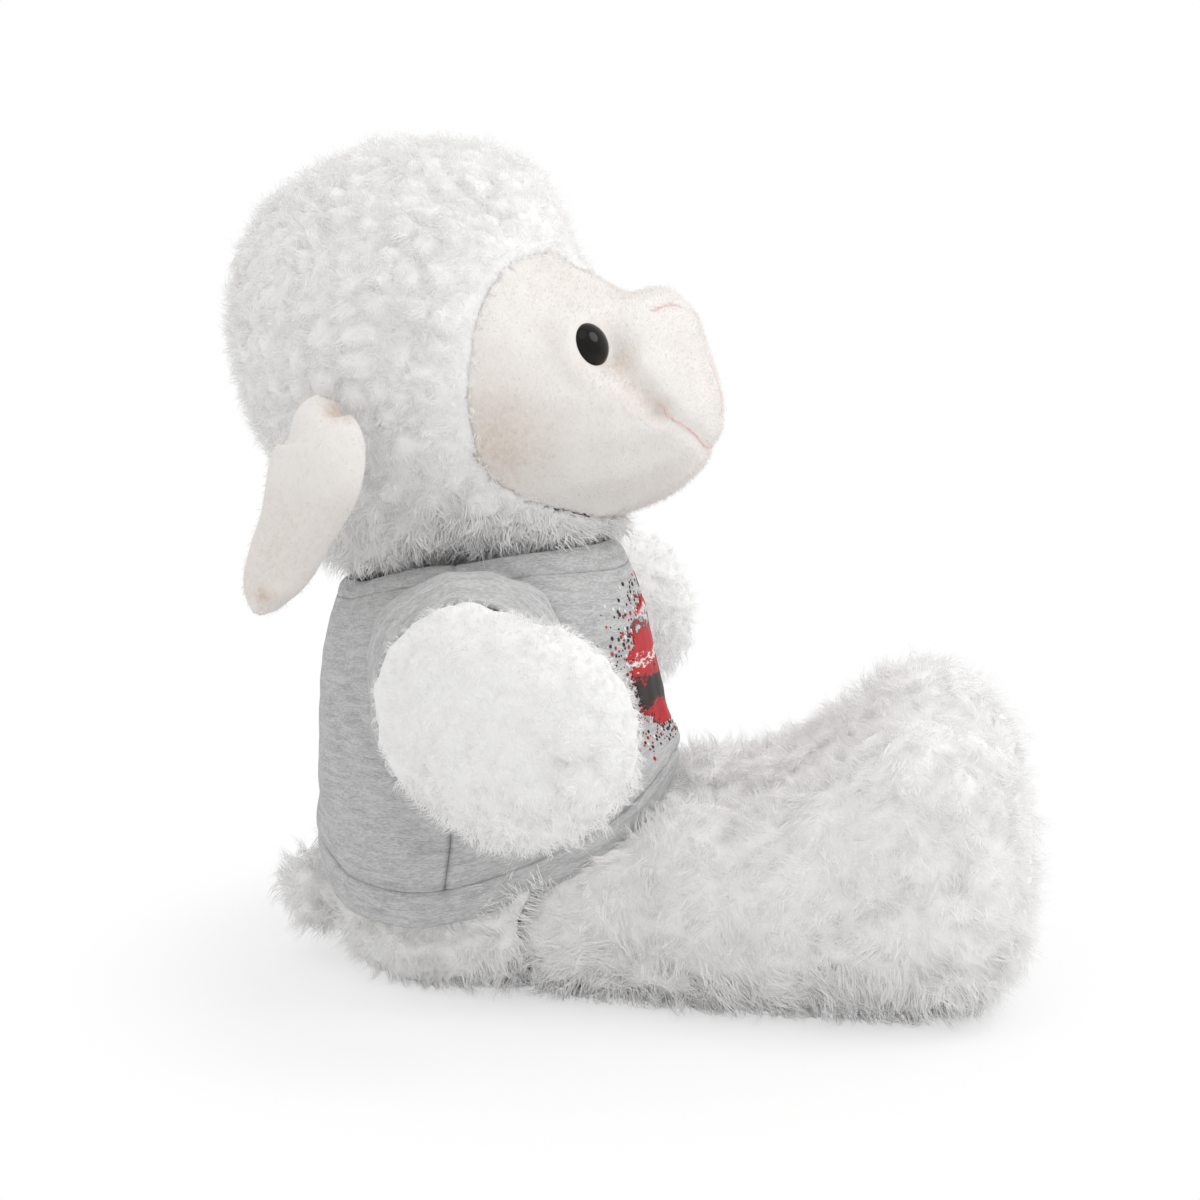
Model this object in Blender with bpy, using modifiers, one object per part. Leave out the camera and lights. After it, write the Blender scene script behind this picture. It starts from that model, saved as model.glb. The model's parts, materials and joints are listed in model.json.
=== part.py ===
"""Sitting plush sheep in a knitted tee: fleece skins over fibre filling, a seat pouch, floppy limbs, ears.

Metres, +Z up, the sheep looks along +X, its left side is +Y. It sits on the plane Z = 0, and the origin is
under the middle of its bounding box. The torso is laid out first, round its own upright axis, and everything
else is placed from it. The last step slides the whole toy along X, so that the origin is in the middle.
"""

import math

import bmesh
import bpy
from mathutils import Matrix, Vector
from mathutils.bvhtree import BVHTree

MM = 0.001

# Cloth thicknesses and clearances
FLEECE_WALL = 2.0 * MM
FACE_WALL = 1.3 * MM
KNIT_WALL = 1.0 * MM
BAND_WALL = 2.0 * MM
FILLING_GAP = 0.7 * MM
SEAM_GAP = 0.3 * MM
JOINT_CLEARANCE = 0.8 * MM
FLOOR_FLAT = 0.6 * MM
CUT_OVERRUN = 20.0 * MM
MERGE_DISTANCE = 0.01 * MM

# Torso, from its flat seat to the top of the neck
TORSO_DEPTH = 78.5 * MM
TORSO_WIDTH = 82.0 * MM
TORSO_HEIGHT = 97.0 * MM
TORSO_BACK_SHARE = 0.465
POUCH_HEIGHT = 24.0 * MM

# Head, from the back of the wool to the nose
HEAD_LENGTH = 116.0 * MM
HEAD_WIDTH = 93.0 * MM
HEAD_HEIGHT = 101.0 * MM
HEAD_BACK_SHARE = 0.504
HEAD_DROP = 0.5 * MM

# Neck wad, the ball of filling that the head turns and nods on
NECK_RADIUS = 13.0 * MM
NECK_DROP = 1.5 * MM
NECK_SETBACK = 6.0 * MM

# Safety eyes and their lock washers
EYE_RADIUS = 5.3 * MM
EYE_DOME = 3.6 * MM
EYE_RIM = 0.8 * MM
EYE_LIFT = 0.5 * MM
STEM_RADIUS = 1.6 * MM
STEM_LENGTH = 7.5 * MM
STEM_CLEARANCE = 0.4 * MM
WASHER_RADIUS = 5.0 * MM
WASHER_THICKNESS = 1.0 * MM
WASHER_CLEARANCE = 0.5 * MM
WASHER_SETBACK = 1.2 * MM

# Pink face embroidery
THREAD_RADIUS = 0.45 * MM
THREAD_LIFT = 0.45 * MM

# Ears, two plies each
EAR_LENGTH = 49.0 * MM
EAR_WIDTH = 24.0 * MM
EAR_PLY = 1.7 * MM
EAR_CUP = 3.0 * MM
EAR_BOW = 4.0 * MM
EAR_CLEARANCE = 0.6 * MM
EAR_SWEEP = math.radians(17.0)

# Arms, measured from the shoulder ball's centre
SHOULDER_RADIUS = 18.5 * MM
SHOULDER_SETBACK = 1.0 * MM
SHOULDER_INSET = 2.0 * MM
SHOULDER_DROP = 23.5 * MM
ARM_LENGTH = 58.0 * MM
PAW_RADIUS = 24.5 * MM
PAW_REACH = 14.0 * MM
ARM_TURN = math.radians(12.0)

# Legs, measured from the hip ball's centre
HIP_RADIUS = 18.0 * MM
HIP_SINK = 11.0 * MM
HIP_BULGE = 2.0 * MM
HIP_LIFT = 0.8 * MM
LEG_LENGTH = 98.0 * MM
FOOT_HEIGHT = 64.5 * MM
FOOT_WIDTH = 47.0 * MM
LEG_SPLAY = math.radians(6.0)

# Tail, measured from its ball's centre
TAIL_RADIUS = 11.0 * MM
TAIL_LENGTH = 13.5 * MM
TAIL_LIFT = 5.5 * MM

# Tee: its ease over the torso, the sleeves and the chest print
TEE_EASE = 3.0 * MM
SLEEVE_LENGTH = 20.0 * MM
SLEEVE_TUCK = 5.0 * MM
SLEEVE_EASE = 0.8 * MM
SLEEVE_FLARE = 3.4 * MM
PRINT_RADIUS = 17.0 * MM
PRINT_FILM = 0.35 * MM
PRINT_DROP = 26.0 * MM

# How finely the forms are drawn
BODY_SIDES = 8
LIMB_SIDES = 8
TURN_STEPS = 20
DOME_STEPS = 5
THREAD_STEPS = 3
EAR_COLUMNS = 4
BALL_SEGMENTS = 16
BALL_RINGS = 10

# Cages: each ring is (first x, first z), (side x, side half width, side z), (last x, last z)
TORSO_SHARES = (
    ((0.643, 0.0), (0.401, 0.54, 0.0), (0.159, 0.0)),
    ((0.809, 0.041), (0.414, 0.84, 0.041), (0.045, 0.041)),
    ((0.905, 0.165), (0.439, 0.98, 0.165), (0.0, 0.165)),
    ((1.0, 0.371), (0.465, 1.0, 0.351), (0.0, 0.351)),
    ((0.994, 0.588), (0.465, 0.963, 0.567), (0.006, 0.557)),
    ((0.924, 0.784), (0.452, 0.866, 0.763), (0.025, 0.742)),
    ((0.834, 0.928), (0.439, 0.745, 0.907), (0.083, 0.887)),
    ((0.643, 1.0), (0.414, 0.366, 0.99), (0.236, 0.974)),
)
HEAD_SHARES = (
    ((0.048, 0.782), (0.035, 0.46, 0.554), (0.052, 0.337)),
    ((0.148, 0.906), (0.13, 0.79, 0.535), (0.157, 0.11)),
    ((0.296, 0.975), (0.252, 0.96, 0.515), (0.296, 0.02)),
    ((0.461, 1.0), (0.348, 1.0, 0.495), (0.47, 0.0)),
    ((0.609, 0.965), (0.417, 1.0, 0.485), (0.626, 0.01)),
    ((0.715, 0.865), (0.461, 0.989, 0.475), (0.722, 0.035)),
    ((0.738, 0.70), (0.496, 0.967, 0.455), (0.787, 0.074)),
    ((0.791, 0.645), (0.60, 0.913, 0.446), (0.848, 0.104)),
    ((0.843, 0.63), (0.713, 0.80, 0.436), (0.905, 0.139)),
    ((0.891, 0.645), (0.80, 0.665, 0.426), (0.94, 0.178)),
    ((0.94, 0.62), (0.883, 0.60, 0.416), (0.97, 0.228)),
    ((0.982, 0.55), (0.962, 0.43, 0.406), (0.993, 0.292)),
)
HEAD_POLE_SHARES = ((0.0, 0.554), (1.005, 0.411))
FACE_RING = 6
TEE_SHARES = (
    ((0.828, 1.0), (0.439, 0.62, 1.04), (0.096, 0.96)),
    ((0.868, 0.963), (0.439, 0.69, 1.0), (0.07, 0.915)),
    ((0.903, 0.897), (0.446, 0.835, 0.93), (0.046, 0.845)),
    ((0.942, 0.784), (0.452, 0.905, 0.794), (0.02, 0.742)),
    ((0.98, 0.66), (0.452, 0.965, 0.598), (0.012, 0.567)),
    ((1.008, 0.585), (0.452, 1.0, 0.443), (0.01, 0.443)),
    ((1.01, 0.545), (0.452, 1.005, 0.342), (0.01, 0.375)),
    ((0.995, 0.465), (0.452, 0.985, 0.255), (0.02, 0.292)),
)
NECKBAND_RINGS = (0, 1)
HEM_RINGS = (6, 7)

# Arm rings: (along, radius) in the sleeve cap, then (along, sideways drift, half width, top, bottom) on the paw
ARM_ROOT_SHARES = ((-0.8, 0.53), (-0.42, 0.86), (-0.06, 0.86), (0.36, 0.8))
ARM_POLE_SHARE = -0.93
WRIST_SWELL_SHARE = 0.6
PAW_SHARES = ((0.6, 0.46, 1.0, 0.94, -1.0), (0.867, 0.86, 0.82, 0.7, -0.86))

# Leg rings: (along, half width, top, bottom), from the hip's centre at its root, from the floor at the foot
HIP_SHARES = (
    (-0.82, 0.68, 0.68, -0.68),
    (-0.18, 1.045, 1.045, -1.045),
    (0.56, 0.93, 0.90, -1.02),
)
FOOT_SHARES = (
    (0.23, 0.87, 0.68, -0.005),
    (0.45, 0.96, 0.785, -0.01),
    (0.67, 1.02, 0.985, -0.01),
    (0.84, 0.96, 0.985, 0.02),
    (0.959, 0.66, 0.80, 0.165),
)
TOE_SHARE = 0.485
TAIL_SHARES = ((-0.68, 0.73), (0.0, 1.0), (0.72, 0.8))

# Places on the head: (along, across, up), with the embroidery on its left side only
EYE_SHARES = (0.763, 0.0, 0.55)
EAR_SHARES = (0.28, 0.0, 0.42)
MUZZLE_SHARES = (0.75, 0.0, 0.4)
NOSTRIL_SHARES = ((0.905, 0.36, 0.56), (0.94, 0.3, 0.57), (0.968, 0.2, 0.545), (0.985, 0.08, 0.5))
NOSE_LINE_SHARES = ((1.0, 0.0, 0.455), (1.0, 0.0, 0.35))
MOUTH_SHARES = ((0.89, 0.62, 0.37), (0.925, 0.5, 0.32), (0.955, 0.34, 0.28), (0.975, 0.15, 0.255))

# Ear outline: (along, half width)
EAR_OUTLINE_SHARES = ((0.0, 0.55), (0.14, 0.86), (0.36, 1.0), (0.58, 0.86), (0.8, 0.62), (0.94, 0.42))


def material(name, colour, roughness=0.9):
    """A plain finish for one kind of cloth, thread or plastic."""
    finish = bpy.data.materials.new(name)
    finish.use_nodes = True
    shader = finish.node_tree.nodes["Principled BSDF"]
    shader.inputs["Base Color"].default_value = (*colour, 1.0)
    shader.inputs["Roughness"].default_value = roughness
    shader.inputs["Metallic"].default_value = 0.0
    finish.diffuse_color = (*colour, 1.0)
    return finish


# Finishes, from the photograph
PLAIN = material("cutter", (0.5, 0.5, 0.5))
WHITE_FLEECE = material("white_fleece", (0.84, 0.83, 0.83), 0.95)
CREAM_PLUSH = material("cream_plush", (0.86, 0.79, 0.73), 0.9)
GREY_KNIT = material("grey_knit", (0.52, 0.53, 0.54), 0.95)
FIBRE = material("fibre_filling", (0.86, 0.86, 0.88), 1.0)
PELLETS = material("pellet_pouch", (0.74, 0.71, 0.66), 0.8)
BLACK_GLOSS = material("eye_black", (0.012, 0.010, 0.009), 0.12)
WASHER_PLASTIC = material("washer_plastic", (0.80, 0.80, 0.78), 0.4)
PINK_THREAD = material("pink_thread", (0.80, 0.38, 0.38), 0.7)
RED_PRINT = material("red_print", (0.52, 0.02, 0.03), 0.6)


def keep(obj, finish, collection="plush_sheep"):
    """Files an object under its collection and gives it its material."""
    group = bpy.data.collections.get(collection) or bpy.data.collections.new(collection)
    if group.name not in bpy.context.scene.collection.children:
        bpy.context.scene.collection.children.link(group)
    for owner in list(obj.users_collection):
        owner.objects.unlink(obj)
    group.objects.link(obj)
    obj.data.materials.clear()
    obj.data.materials.append(finish)
    return obj


def ring(row, sides, swell):
    """Points of a closed ring through a row's first, side and last points, alike to left and right."""
    first, side, last, drift = row
    first, last = Vector((first[0], 0.0, first[1])), Vector((last[0], 0.0, last[1]))
    middle, half = (first + last) / 2, (first - last) / 2
    bulge = Vector((side[0], 0.0, side[2])) - middle
    points = []
    for step in range(sides):
        turn = math.tau * step / sides
        across = Vector((0.0, drift + side[1] * math.cos(turn) * swell, 0.0))
        points.append(middle + half * math.sin(turn) * swell + bulge * math.cos(turn) ** 2 + across)
    return points


def surface(rows, sides, poles=(), zone=lambda band, step: 0, fine=True):
    """A surface through rings, one for each row. Two poles close it.

    Subdividing draws a ring in by a known share, so the cage of a fine surface stands out by that much.
    zone numbers each face of the cage by its band and step; the first pole's band is -1.
    """
    swell = 8.0 / (6.0 + 2.0 * math.cos(math.tau / sides)) if fine else 1.0
    cage = bmesh.new()
    loops = [[cage.verts.new(point) for point in ring(row, sides, swell)] for row in rows]
    if poles:
        loops = [[cage.verts.new(poles[0])] * sides, *loops, [cage.verts.new(poles[1])] * sides]
    for band, (here, there) in enumerate(zip(loops, loops[1:]), start=-1 if poles else 0):
        for step in range(sides):
            after = (step + 1) % sides
            corners = here[step], here[after], there[after], there[step]
            cage.faces.new(dict.fromkeys(corners)).material_index = zone(band, step)
    bmesh.ops.recalc_face_normals(cage, faces=cage.faces)
    mesh = bpy.data.meshes.new("cage")
    cage.to_mesh(mesh)
    cage.free()
    helper = bpy.data.objects.new("cage", mesh)
    bpy.context.scene.collection.objects.link(helper)
    if fine:
        smooth = helper.modifiers.new("smooth", "SUBSURF")
        smooth.levels = smooth.render_levels = 1
    made = bpy.data.meshes.new_from_object(helper.evaluated_get(bpy.context.evaluated_depsgraph_get()))
    bpy.data.objects.remove(helper)
    if not outward(made):
        made.flip_normals()
    return made


def outward(mesh):
    """Whether the faces of a surface look away from its middle."""
    middle = sum((v.co for v in mesh.vertices), Vector()) / len(mesh.vertices)
    return sum((p.center - middle).dot(p.normal) * p.area for p in mesh.polygons) > 0


def solid(name, mesh, finish, place=None):
    """An object for a finished mesh, put in its place."""
    obj = keep(bpy.data.objects.new(name, mesh), finish)
    if place is not None:
        obj.matrix_world = place
    mesh.shade_smooth()
    return obj


def skin(name, form, wall, finish, place=None, zones=(0,), depth=0.0, shift=(0.0, 0.0, 0.0)):
    """The cloth over those zones of a form: its wall runs inwards from depth under the form.

    shift moves the cut edge a little, so that two skins that are sewn together don't share it.
    """
    cloth = bmesh.new()
    kept = [face for face in form.polygons if face.material_index in zones]
    used = sorted({index for face in kept for index in face.vertices})
    counts = {}
    for face in kept:
        for key in face.edge_keys:
            counts[key] = counts.get(key, 0) + 1
    edge = {index for key, count in counts.items() if count == 1 for index in key}
    sides = []
    for level in (depth, depth + wall):
        made = {}
        for index in used:
            vertex = form.vertices[index]
            moved = Vector(shift) if index in edge else Vector()
            made[index] = cloth.verts.new(vertex.co - vertex.normal * level + moved)
        sides.append(made)
    outer, inner = sides
    for face in kept:
        corners = list(face.vertices)
        cloth.faces.new([outer[i] for i in corners])
        cloth.faces.new([inner[i] for i in reversed(corners)])
        for a, b in zip(corners, corners[1:] + corners[:1]):
            if counts[(min(a, b), max(a, b))] == 1:
                cloth.faces.new((outer[b], outer[a], inner[a], inner[b]))
    mesh = bpy.data.meshes.new(name)
    cloth.to_mesh(mesh)
    cloth.free()
    return solid(name, mesh, finish, place)


def filling(name, form, rows, sides, poles, inset, finish, place=None):
    """The stuffing under a closed form: its cage again, each corner drawn in from where smoothing put it.

    Subdividing keeps a cage's own corners first, so the two meshes' vertices pair up.
    """
    mesh = surface(rows, sides, poles, fine=False)
    for vertex, smoothed in zip(mesh.vertices, form.vertices):
        vertex.co = smoothed.co - smoothed.normal * inset
    return solid(name, mesh, finish, place)


def turned(name, profile, finish, place):
    """A turned piece: its profile, (radius, height) from top to bottom, spun round Z."""
    line = bmesh.new()
    points = [line.verts.new((radius, 0.0, height)) for radius, height in profile]
    for a, b in zip(points, points[1:]):
        line.edges.new((a, b))
    mesh = bpy.data.meshes.new(name)
    line.to_mesh(mesh)
    line.free()
    obj = solid(name, mesh, finish, place)
    spin = obj.modifiers.new("spin", "SCREW")
    spin.steps = spin.render_steps = TURN_STEPS
    spin.use_merge_vertices = True
    spin.merge_threshold = MERGE_DISTANCE
    return obj


def ball(radius, place):
    """A sphere with its centre at place."""
    bpy.ops.mesh.primitive_uv_sphere_add(segments=BALL_SEGMENTS, ring_count=BALL_RINGS, radius=radius)
    bpy.context.object.matrix_world = place
    return bpy.context.object


def socket(name, radius, place):
    """A round cutter for the ball that turns in it."""
    ball(radius + JOINT_CLEARANCE, place)
    return cutter(name)


def drum(name, place, radius, depth):
    """A cylindrical cutter whose middle is at place, along its Z."""
    bpy.ops.mesh.primitive_cylinder_add(vertices=TURN_STEPS, radius=radius, depth=depth)
    obj = cutter(name)
    obj.matrix_world = place
    return obj


def slab(name, low, high):
    """A box-shaped cutter between two heights, wider than the toy."""
    bpy.ops.mesh.primitive_cube_add(size=1.0, location=(0.0, 0.0, (low + high) / 2))
    obj = cutter(name)
    reach = 2 * (HEAD_LENGTH + LEG_LENGTH)
    obj.scale = (reach, reach, high - low)
    return obj


def cutter(name):
    """Files the primitive just added as a cutter, which isn't part of the toy."""
    obj = bpy.context.object
    obj.name = name
    keep(obj, PLAIN, "cutters")
    obj.hide_render = True
    obj.display_type = "WIRE"
    return obj


def cut(obj, *tools, operation="DIFFERENCE"):
    """Cuts an object with each tool in turn."""
    for tool in tools:
        step = obj.modifiers.new(tool.name, "BOOLEAN")
        step.operation = operation
        step.solver = "EXACT"
        step.object = tool
    return obj


def torso_rows(shares, ease=0.0):
    """Rows round the torso from a table of shares. ease widens them in plan.

    The form starts below the floor by the depth of its flat seat, which is cut off later.
    """
    back = -TORSO_DEPTH * TORSO_BACK_SHARE
    rise = TORSO_HEIGHT + FLOOR_FLAT
    rows = []
    for (fx, fz), (sx, sw, sz), (lx, lz) in shares:
        first = (back + fx * TORSO_DEPTH + ease, fz * rise - FLOOR_FLAT)
        side = (back + sx * TORSO_DEPTH, sw * TORSO_WIDTH / 2 + ease, sz * rise - FLOOR_FLAT)
        last = (back + lx * TORSO_DEPTH - ease, lz * rise - FLOOR_FLAT)
        rows.append((first, side, last, 0.0))
    return rows


def head_point(along, across, up):
    """A place on or in the head from shares of its length, half width and height."""
    height = TORSO_HEIGHT - HEAD_DROP + up * HEAD_HEIGHT
    return Vector(((along - HEAD_BACK_SHARE) * HEAD_LENGTH, across * HEAD_WIDTH / 2, height))


def upright(x, half_width, top, bottom, drift=0.0):
    """The row of an upright ring across a limb, x along it."""
    return (x, top), (x, half_width, (top + bottom) / 2), (x, bottom), drift


def pivot(name, place):
    """An empty on a joint's axis, which the moving pieces hang from."""
    obj = bpy.data.objects.new(name, None)
    bpy.context.scene.collection.objects.link(obj)
    obj.empty_display_size = NECK_RADIUS
    obj.matrix_world = place
    return obj


def hang(joint, *pieces):
    """Parents pieces to a joint's empty without moving them."""
    bpy.context.view_layer.update()
    for piece in pieces:
        world = piece.matrix_world.copy()
        piece.parent = joint
        piece.matrix_parent_inverse = joint.matrix_world.inverted()
        piece.matrix_world = world


def sided(side):
    """The name of a side."""
    return "left" if side > 0 else "right"


def shoulder_place(side):
    """The shoulder's frame: X out along the arm, Z up."""
    turn = Matrix.Rotation(side * (math.pi / 2 - ARM_TURN), 4, "Z")
    out = side * (TORSO_WIDTH / 2 - SHOULDER_INSET)
    return Matrix.Translation((-SHOULDER_SETBACK, out, TORSO_HEIGHT - SHOULDER_DROP)) @ turn


def hip_place(side):
    """The hip's frame: X along the leg."""
    turn = Matrix.Rotation(side * LEG_SPLAY, 4, "Z")
    forward = TORSO_DEPTH * (1.0 - TORSO_BACK_SHARE) - HIP_SINK
    out = side * (TORSO_WIDTH / 2 + HIP_BULGE - HIP_RADIUS)
    return Matrix.Translation((forward, out, HIP_RADIUS + HIP_LIFT)) @ turn


def neck_place():
    """The middle of the neck wad."""
    return Matrix.Translation((-NECK_SETBACK, 0.0, TORSO_HEIGHT - NECK_DROP))


def tail_place():
    """The tail's root, on the torso's back, with X pointing backwards."""
    turn = Matrix.Rotation(math.pi, 4, "Z")
    return Matrix.Translation((-TORSO_DEPTH * TORSO_BACK_SHARE, 0.0, TAIL_RADIUS + TAIL_LIFT)) @ turn


def sleeve_radius():
    """The sleeve's outer radius where it is narrowest, half way along."""
    return SHOULDER_RADIUS + SLEEVE_EASE + KNIT_WALL


def cap_radius():
    """The sleeve's full cap: the ball through its narrowest ring, round the shoulder's centre."""
    return math.hypot(sleeve_radius(), SLEEVE_LENGTH / 2)


def make_sockets():
    """Round cutters where each moving piece is rooted in the torso, the neck's first."""
    tools = [socket("neck_socket", NECK_RADIUS, neck_place())]
    for side in (1, -1):
        tools.append(socket(f"shoulder_socket_{sided(side)}", cap_radius(), shoulder_place(side)))
        tools.append(socket(f"hip_socket_{sided(side)}", HIP_RADIUS, hip_place(side)))
    tools.append(socket("tail_socket", TAIL_RADIUS, tail_place()))
    return tools


def make_torso(sockets, floor):
    """The body's fleece skin, its fibre filling and the pellet pouch that weights the seat."""
    rows = torso_rows(TORSO_SHARES)
    poles = []
    for first, _, last, _ in (rows[0], rows[-1]):
        poles.append(((first[0] + last[0]) / 2, 0.0, (first[1] + last[1]) / 2))
    form = surface(rows, BODY_SIDES, poles)
    inset = FLEECE_WALL + FILLING_GAP
    cut(skin("body_shell", form, FLEECE_WALL, WHITE_FLEECE), *sockets, floor)
    above = slab("above_pouch", POUCH_HEIGHT - SEAM_GAP, TORSO_HEIGHT + CUT_OVERRUN)
    below = slab("below_filling", -CUT_OVERRUN, POUCH_HEIGHT)
    cut(filling("body_filling", form, rows, BODY_SIDES, poles, inset, FIBRE), *sockets, below)
    cut(filling("seat_pouch", form, rows, BODY_SIDES, poles, inset, PELLETS), *sockets, above)


def stuffed(name, rows, poles, place):
    """A stuffed limb: a fleece skin, open where it is rooted, and its filling."""
    form = surface(rows, LIMB_SIDES, poles, zone=lambda band, step: int(band < 0))
    inset = FLEECE_WALL + FILLING_GAP
    shell = skin(f"{name}_shell", form, FLEECE_WALL, WHITE_FLEECE, place)
    return shell, filling(f"{name}_filling", form, rows, LIMB_SIDES, poles, inset, FIBRE, place)


def make_leg(side, floor):
    """One leg: it swells from the hip ball into the upright foot, and is flat where it lies on the floor."""
    rows = []
    for along, width, top, bottom in HIP_SHARES:
        rows.append(upright(along * HIP_RADIUS, width * HIP_RADIUS, top * HIP_RADIUS, bottom * HIP_RADIUS))
    ground = -(HIP_RADIUS + HIP_LIFT + FLOOR_FLAT)
    for along, width, top, bottom in FOOT_SHARES:
        x, half_width = along * LEG_LENGTH, width * FOOT_WIDTH / 2
        rows.append(upright(x, half_width, ground + top * FOOT_HEIGHT, ground + bottom * FOOT_HEIGHT))
    poles = (-HIP_RADIUS, 0.0, 0.0), (LEG_LENGTH, 0.0, ground + TOE_SHARE * FOOT_HEIGHT)
    shell, stuffing = stuffed(f"leg_{sided(side)}", rows, poles, hip_place(side))
    return cut(shell, floor), stuffing


def make_arm(side):
    """One arm: its root fills the sleeve's cap, and it swells into a round paw that points forwards."""
    rows = []
    for along, radius in ARM_ROOT_SHARES:
        r = radius * cap_radius()
        rows.append(upright(along * cap_radius(), r, r, -r))
    wrist = SHOULDER_RADIUS + WRIST_SWELL_SHARE * SLEEVE_FLARE
    rows.append(upright(SLEEVE_LENGTH, wrist, wrist, -wrist))
    for along, drift, width, top, bottom in PAW_SHARES:
        r = PAW_RADIUS
        rows.append(upright(along * ARM_LENGTH, width * r, top * r, bottom * r, -side * drift * PAW_REACH))
    poles = (ARM_POLE_SHARE * cap_radius(), 0.0, 0.0), (ARM_LENGTH, -side * PAW_REACH, 0.0)
    return stuffed(f"arm_{sided(side)}", rows, poles, shoulder_place(side))


def make_sleeve(side):
    """One sleeve: a cap that is part of a ball round the shoulder, then a tube that flares to its hem."""
    profile = [
        (-SLEEVE_TUCK, math.sqrt(cap_radius() ** 2 - SLEEVE_TUCK**2)),
        (0.0, cap_radius()),
        (SLEEVE_LENGTH / 2, sleeve_radius()),
        (SLEEVE_LENGTH, sleeve_radius() + SLEEVE_FLARE),
    ]
    rows = [upright(x, r, r, -r) for x, r in profile]
    form = surface(rows, BODY_SIDES)
    return skin(f"sleeve_{sided(side)}", form, KNIT_WALL, GREY_KNIT, shoulder_place(side))


def make_tail():
    """The tail: a short fleece tuft round its ball's centre."""
    rows = []
    for along, radius in TAIL_SHARES:
        x = along * (TAIL_LENGTH if along > 0 else TAIL_RADIUS)
        r = radius * TAIL_RADIUS
        rows.append(upright(x, r, r, -r))
    return stuffed("tail", rows, ((-TAIL_RADIUS, 0.0, 0.0), (TAIL_LENGTH, 0.0, 0.0)), tail_place())


def make_tee(shoulders):
    """The knitted tee: front and back panels that meet at the side seams, a neckband and a folded hem."""
    rows = torso_rows(TEE_SHARES, TEE_EASE)
    panels = rows[NECKBAND_RINGS[1] : HEM_RINGS[0] + 1]
    form = surface(panels, BODY_SIDES, zone=lambda band, step: int(step >= BODY_SIDES // 2))
    front = skin("tee_front", form, KNIT_WALL, GREY_KNIT, zones=(0,), shift=(SEAM_GAP, 0.0, 0.0))
    back = skin("tee_back", form, KNIT_WALL, GREY_KNIT, zones=(1,))
    for panel in (front, back):
        cut(panel, *shoulders)
    for name, (upper, lower) in (("neckband", NECKBAND_RINGS), ("hem_band", HEM_RINGS)):
        strip = surface(band_rows(rows[upper], rows[lower]), BODY_SIDES)
        skin(name, strip, BAND_WALL, GREY_KNIT, depth=-(BAND_WALL - KNIT_WALL) / 2)
    make_print(form)


def make_print(form):
    """The printed film on the chest: a round patch that follows the front panel."""
    film = skin("chest_print", form, PRINT_FILM, RED_PRINT, depth=-(SEAM_GAP + PRINT_FILM))
    outline = drum("print_outline", print_place(), PRINT_RADIUS, HEAD_LENGTH)
    return cut(film, outline, operation="INTERSECT")


def print_place():
    """In front of the chest, with Z pointing forwards."""
    ahead = Matrix.Rotation(math.pi / 2, 4, "Y")
    return Matrix.Translation((HEAD_LENGTH / 2, 0.0, TORSO_HEIGHT - PRINT_DROP)) @ ahead


def band_rows(upper, lower):
    """The two edges of a band, each drawn in by the seam gap."""
    rows = []
    for here, there in ((upper, lower), (lower, upper)):
        row = []
        for a, b in zip(here[:3], there[:3]):
            share = SEAM_GAP / (Vector(a) - Vector(b)).length
            row.append(tuple(Vector(a).lerp(Vector(b), share)))
        rows.append((*row, 0.0))
    return rows


def make_head(neck_socket):
    """The head: a wool skin, the short-pile face sewn into it and the filling, all over one form."""
    rows = []
    for (fx, fz), side, (lx, lz) in HEAD_SHARES:
        first, last = head_point(fx, 0.0, fz), head_point(lx, 0.0, lz)
        rows.append(((first.x, first.z), head_point(*side), (last.x, last.z), 0.0))
    poles = [head_point(x, 0.0, z) for x, z in HEAD_POLE_SHARES]
    form = surface(rows, BODY_SIDES, poles, zone=lambda band, step: int(band >= FACE_RING))
    wool = cut(skin("head_fleece", form, FLEECE_WALL, WHITE_FLEECE), neck_socket)
    face = skin("face_panel", form, FACE_WALL, CREAM_PLUSH, zones=(1,), shift=(SEAM_GAP, 0.0, 0.0))
    inset = FLEECE_WALL + FILLING_GAP
    stuffing = cut(filling("head_filling", form, rows, BODY_SIDES, poles, inset, FIBRE), neck_socket)
    return form, wool, face, stuffing


def make_neck():
    """The neck wad: a firm ball of fibre that fills the sockets in the torso and the head."""
    wad = ball(NECK_RADIUS, neck_place())
    wad.name = "neck_wad"
    wad.data.shade_smooth()
    return keep(wad, FIBRE)


def on_form(tree, point, away):
    """Where a ray from outside meets a form, going through point against away, and the normal there."""
    away = Vector(away).normalized()
    place, normal, _, _ = tree.ray_cast(Vector(point) + away * HEAD_LENGTH, -away)
    return place, normal


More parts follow.
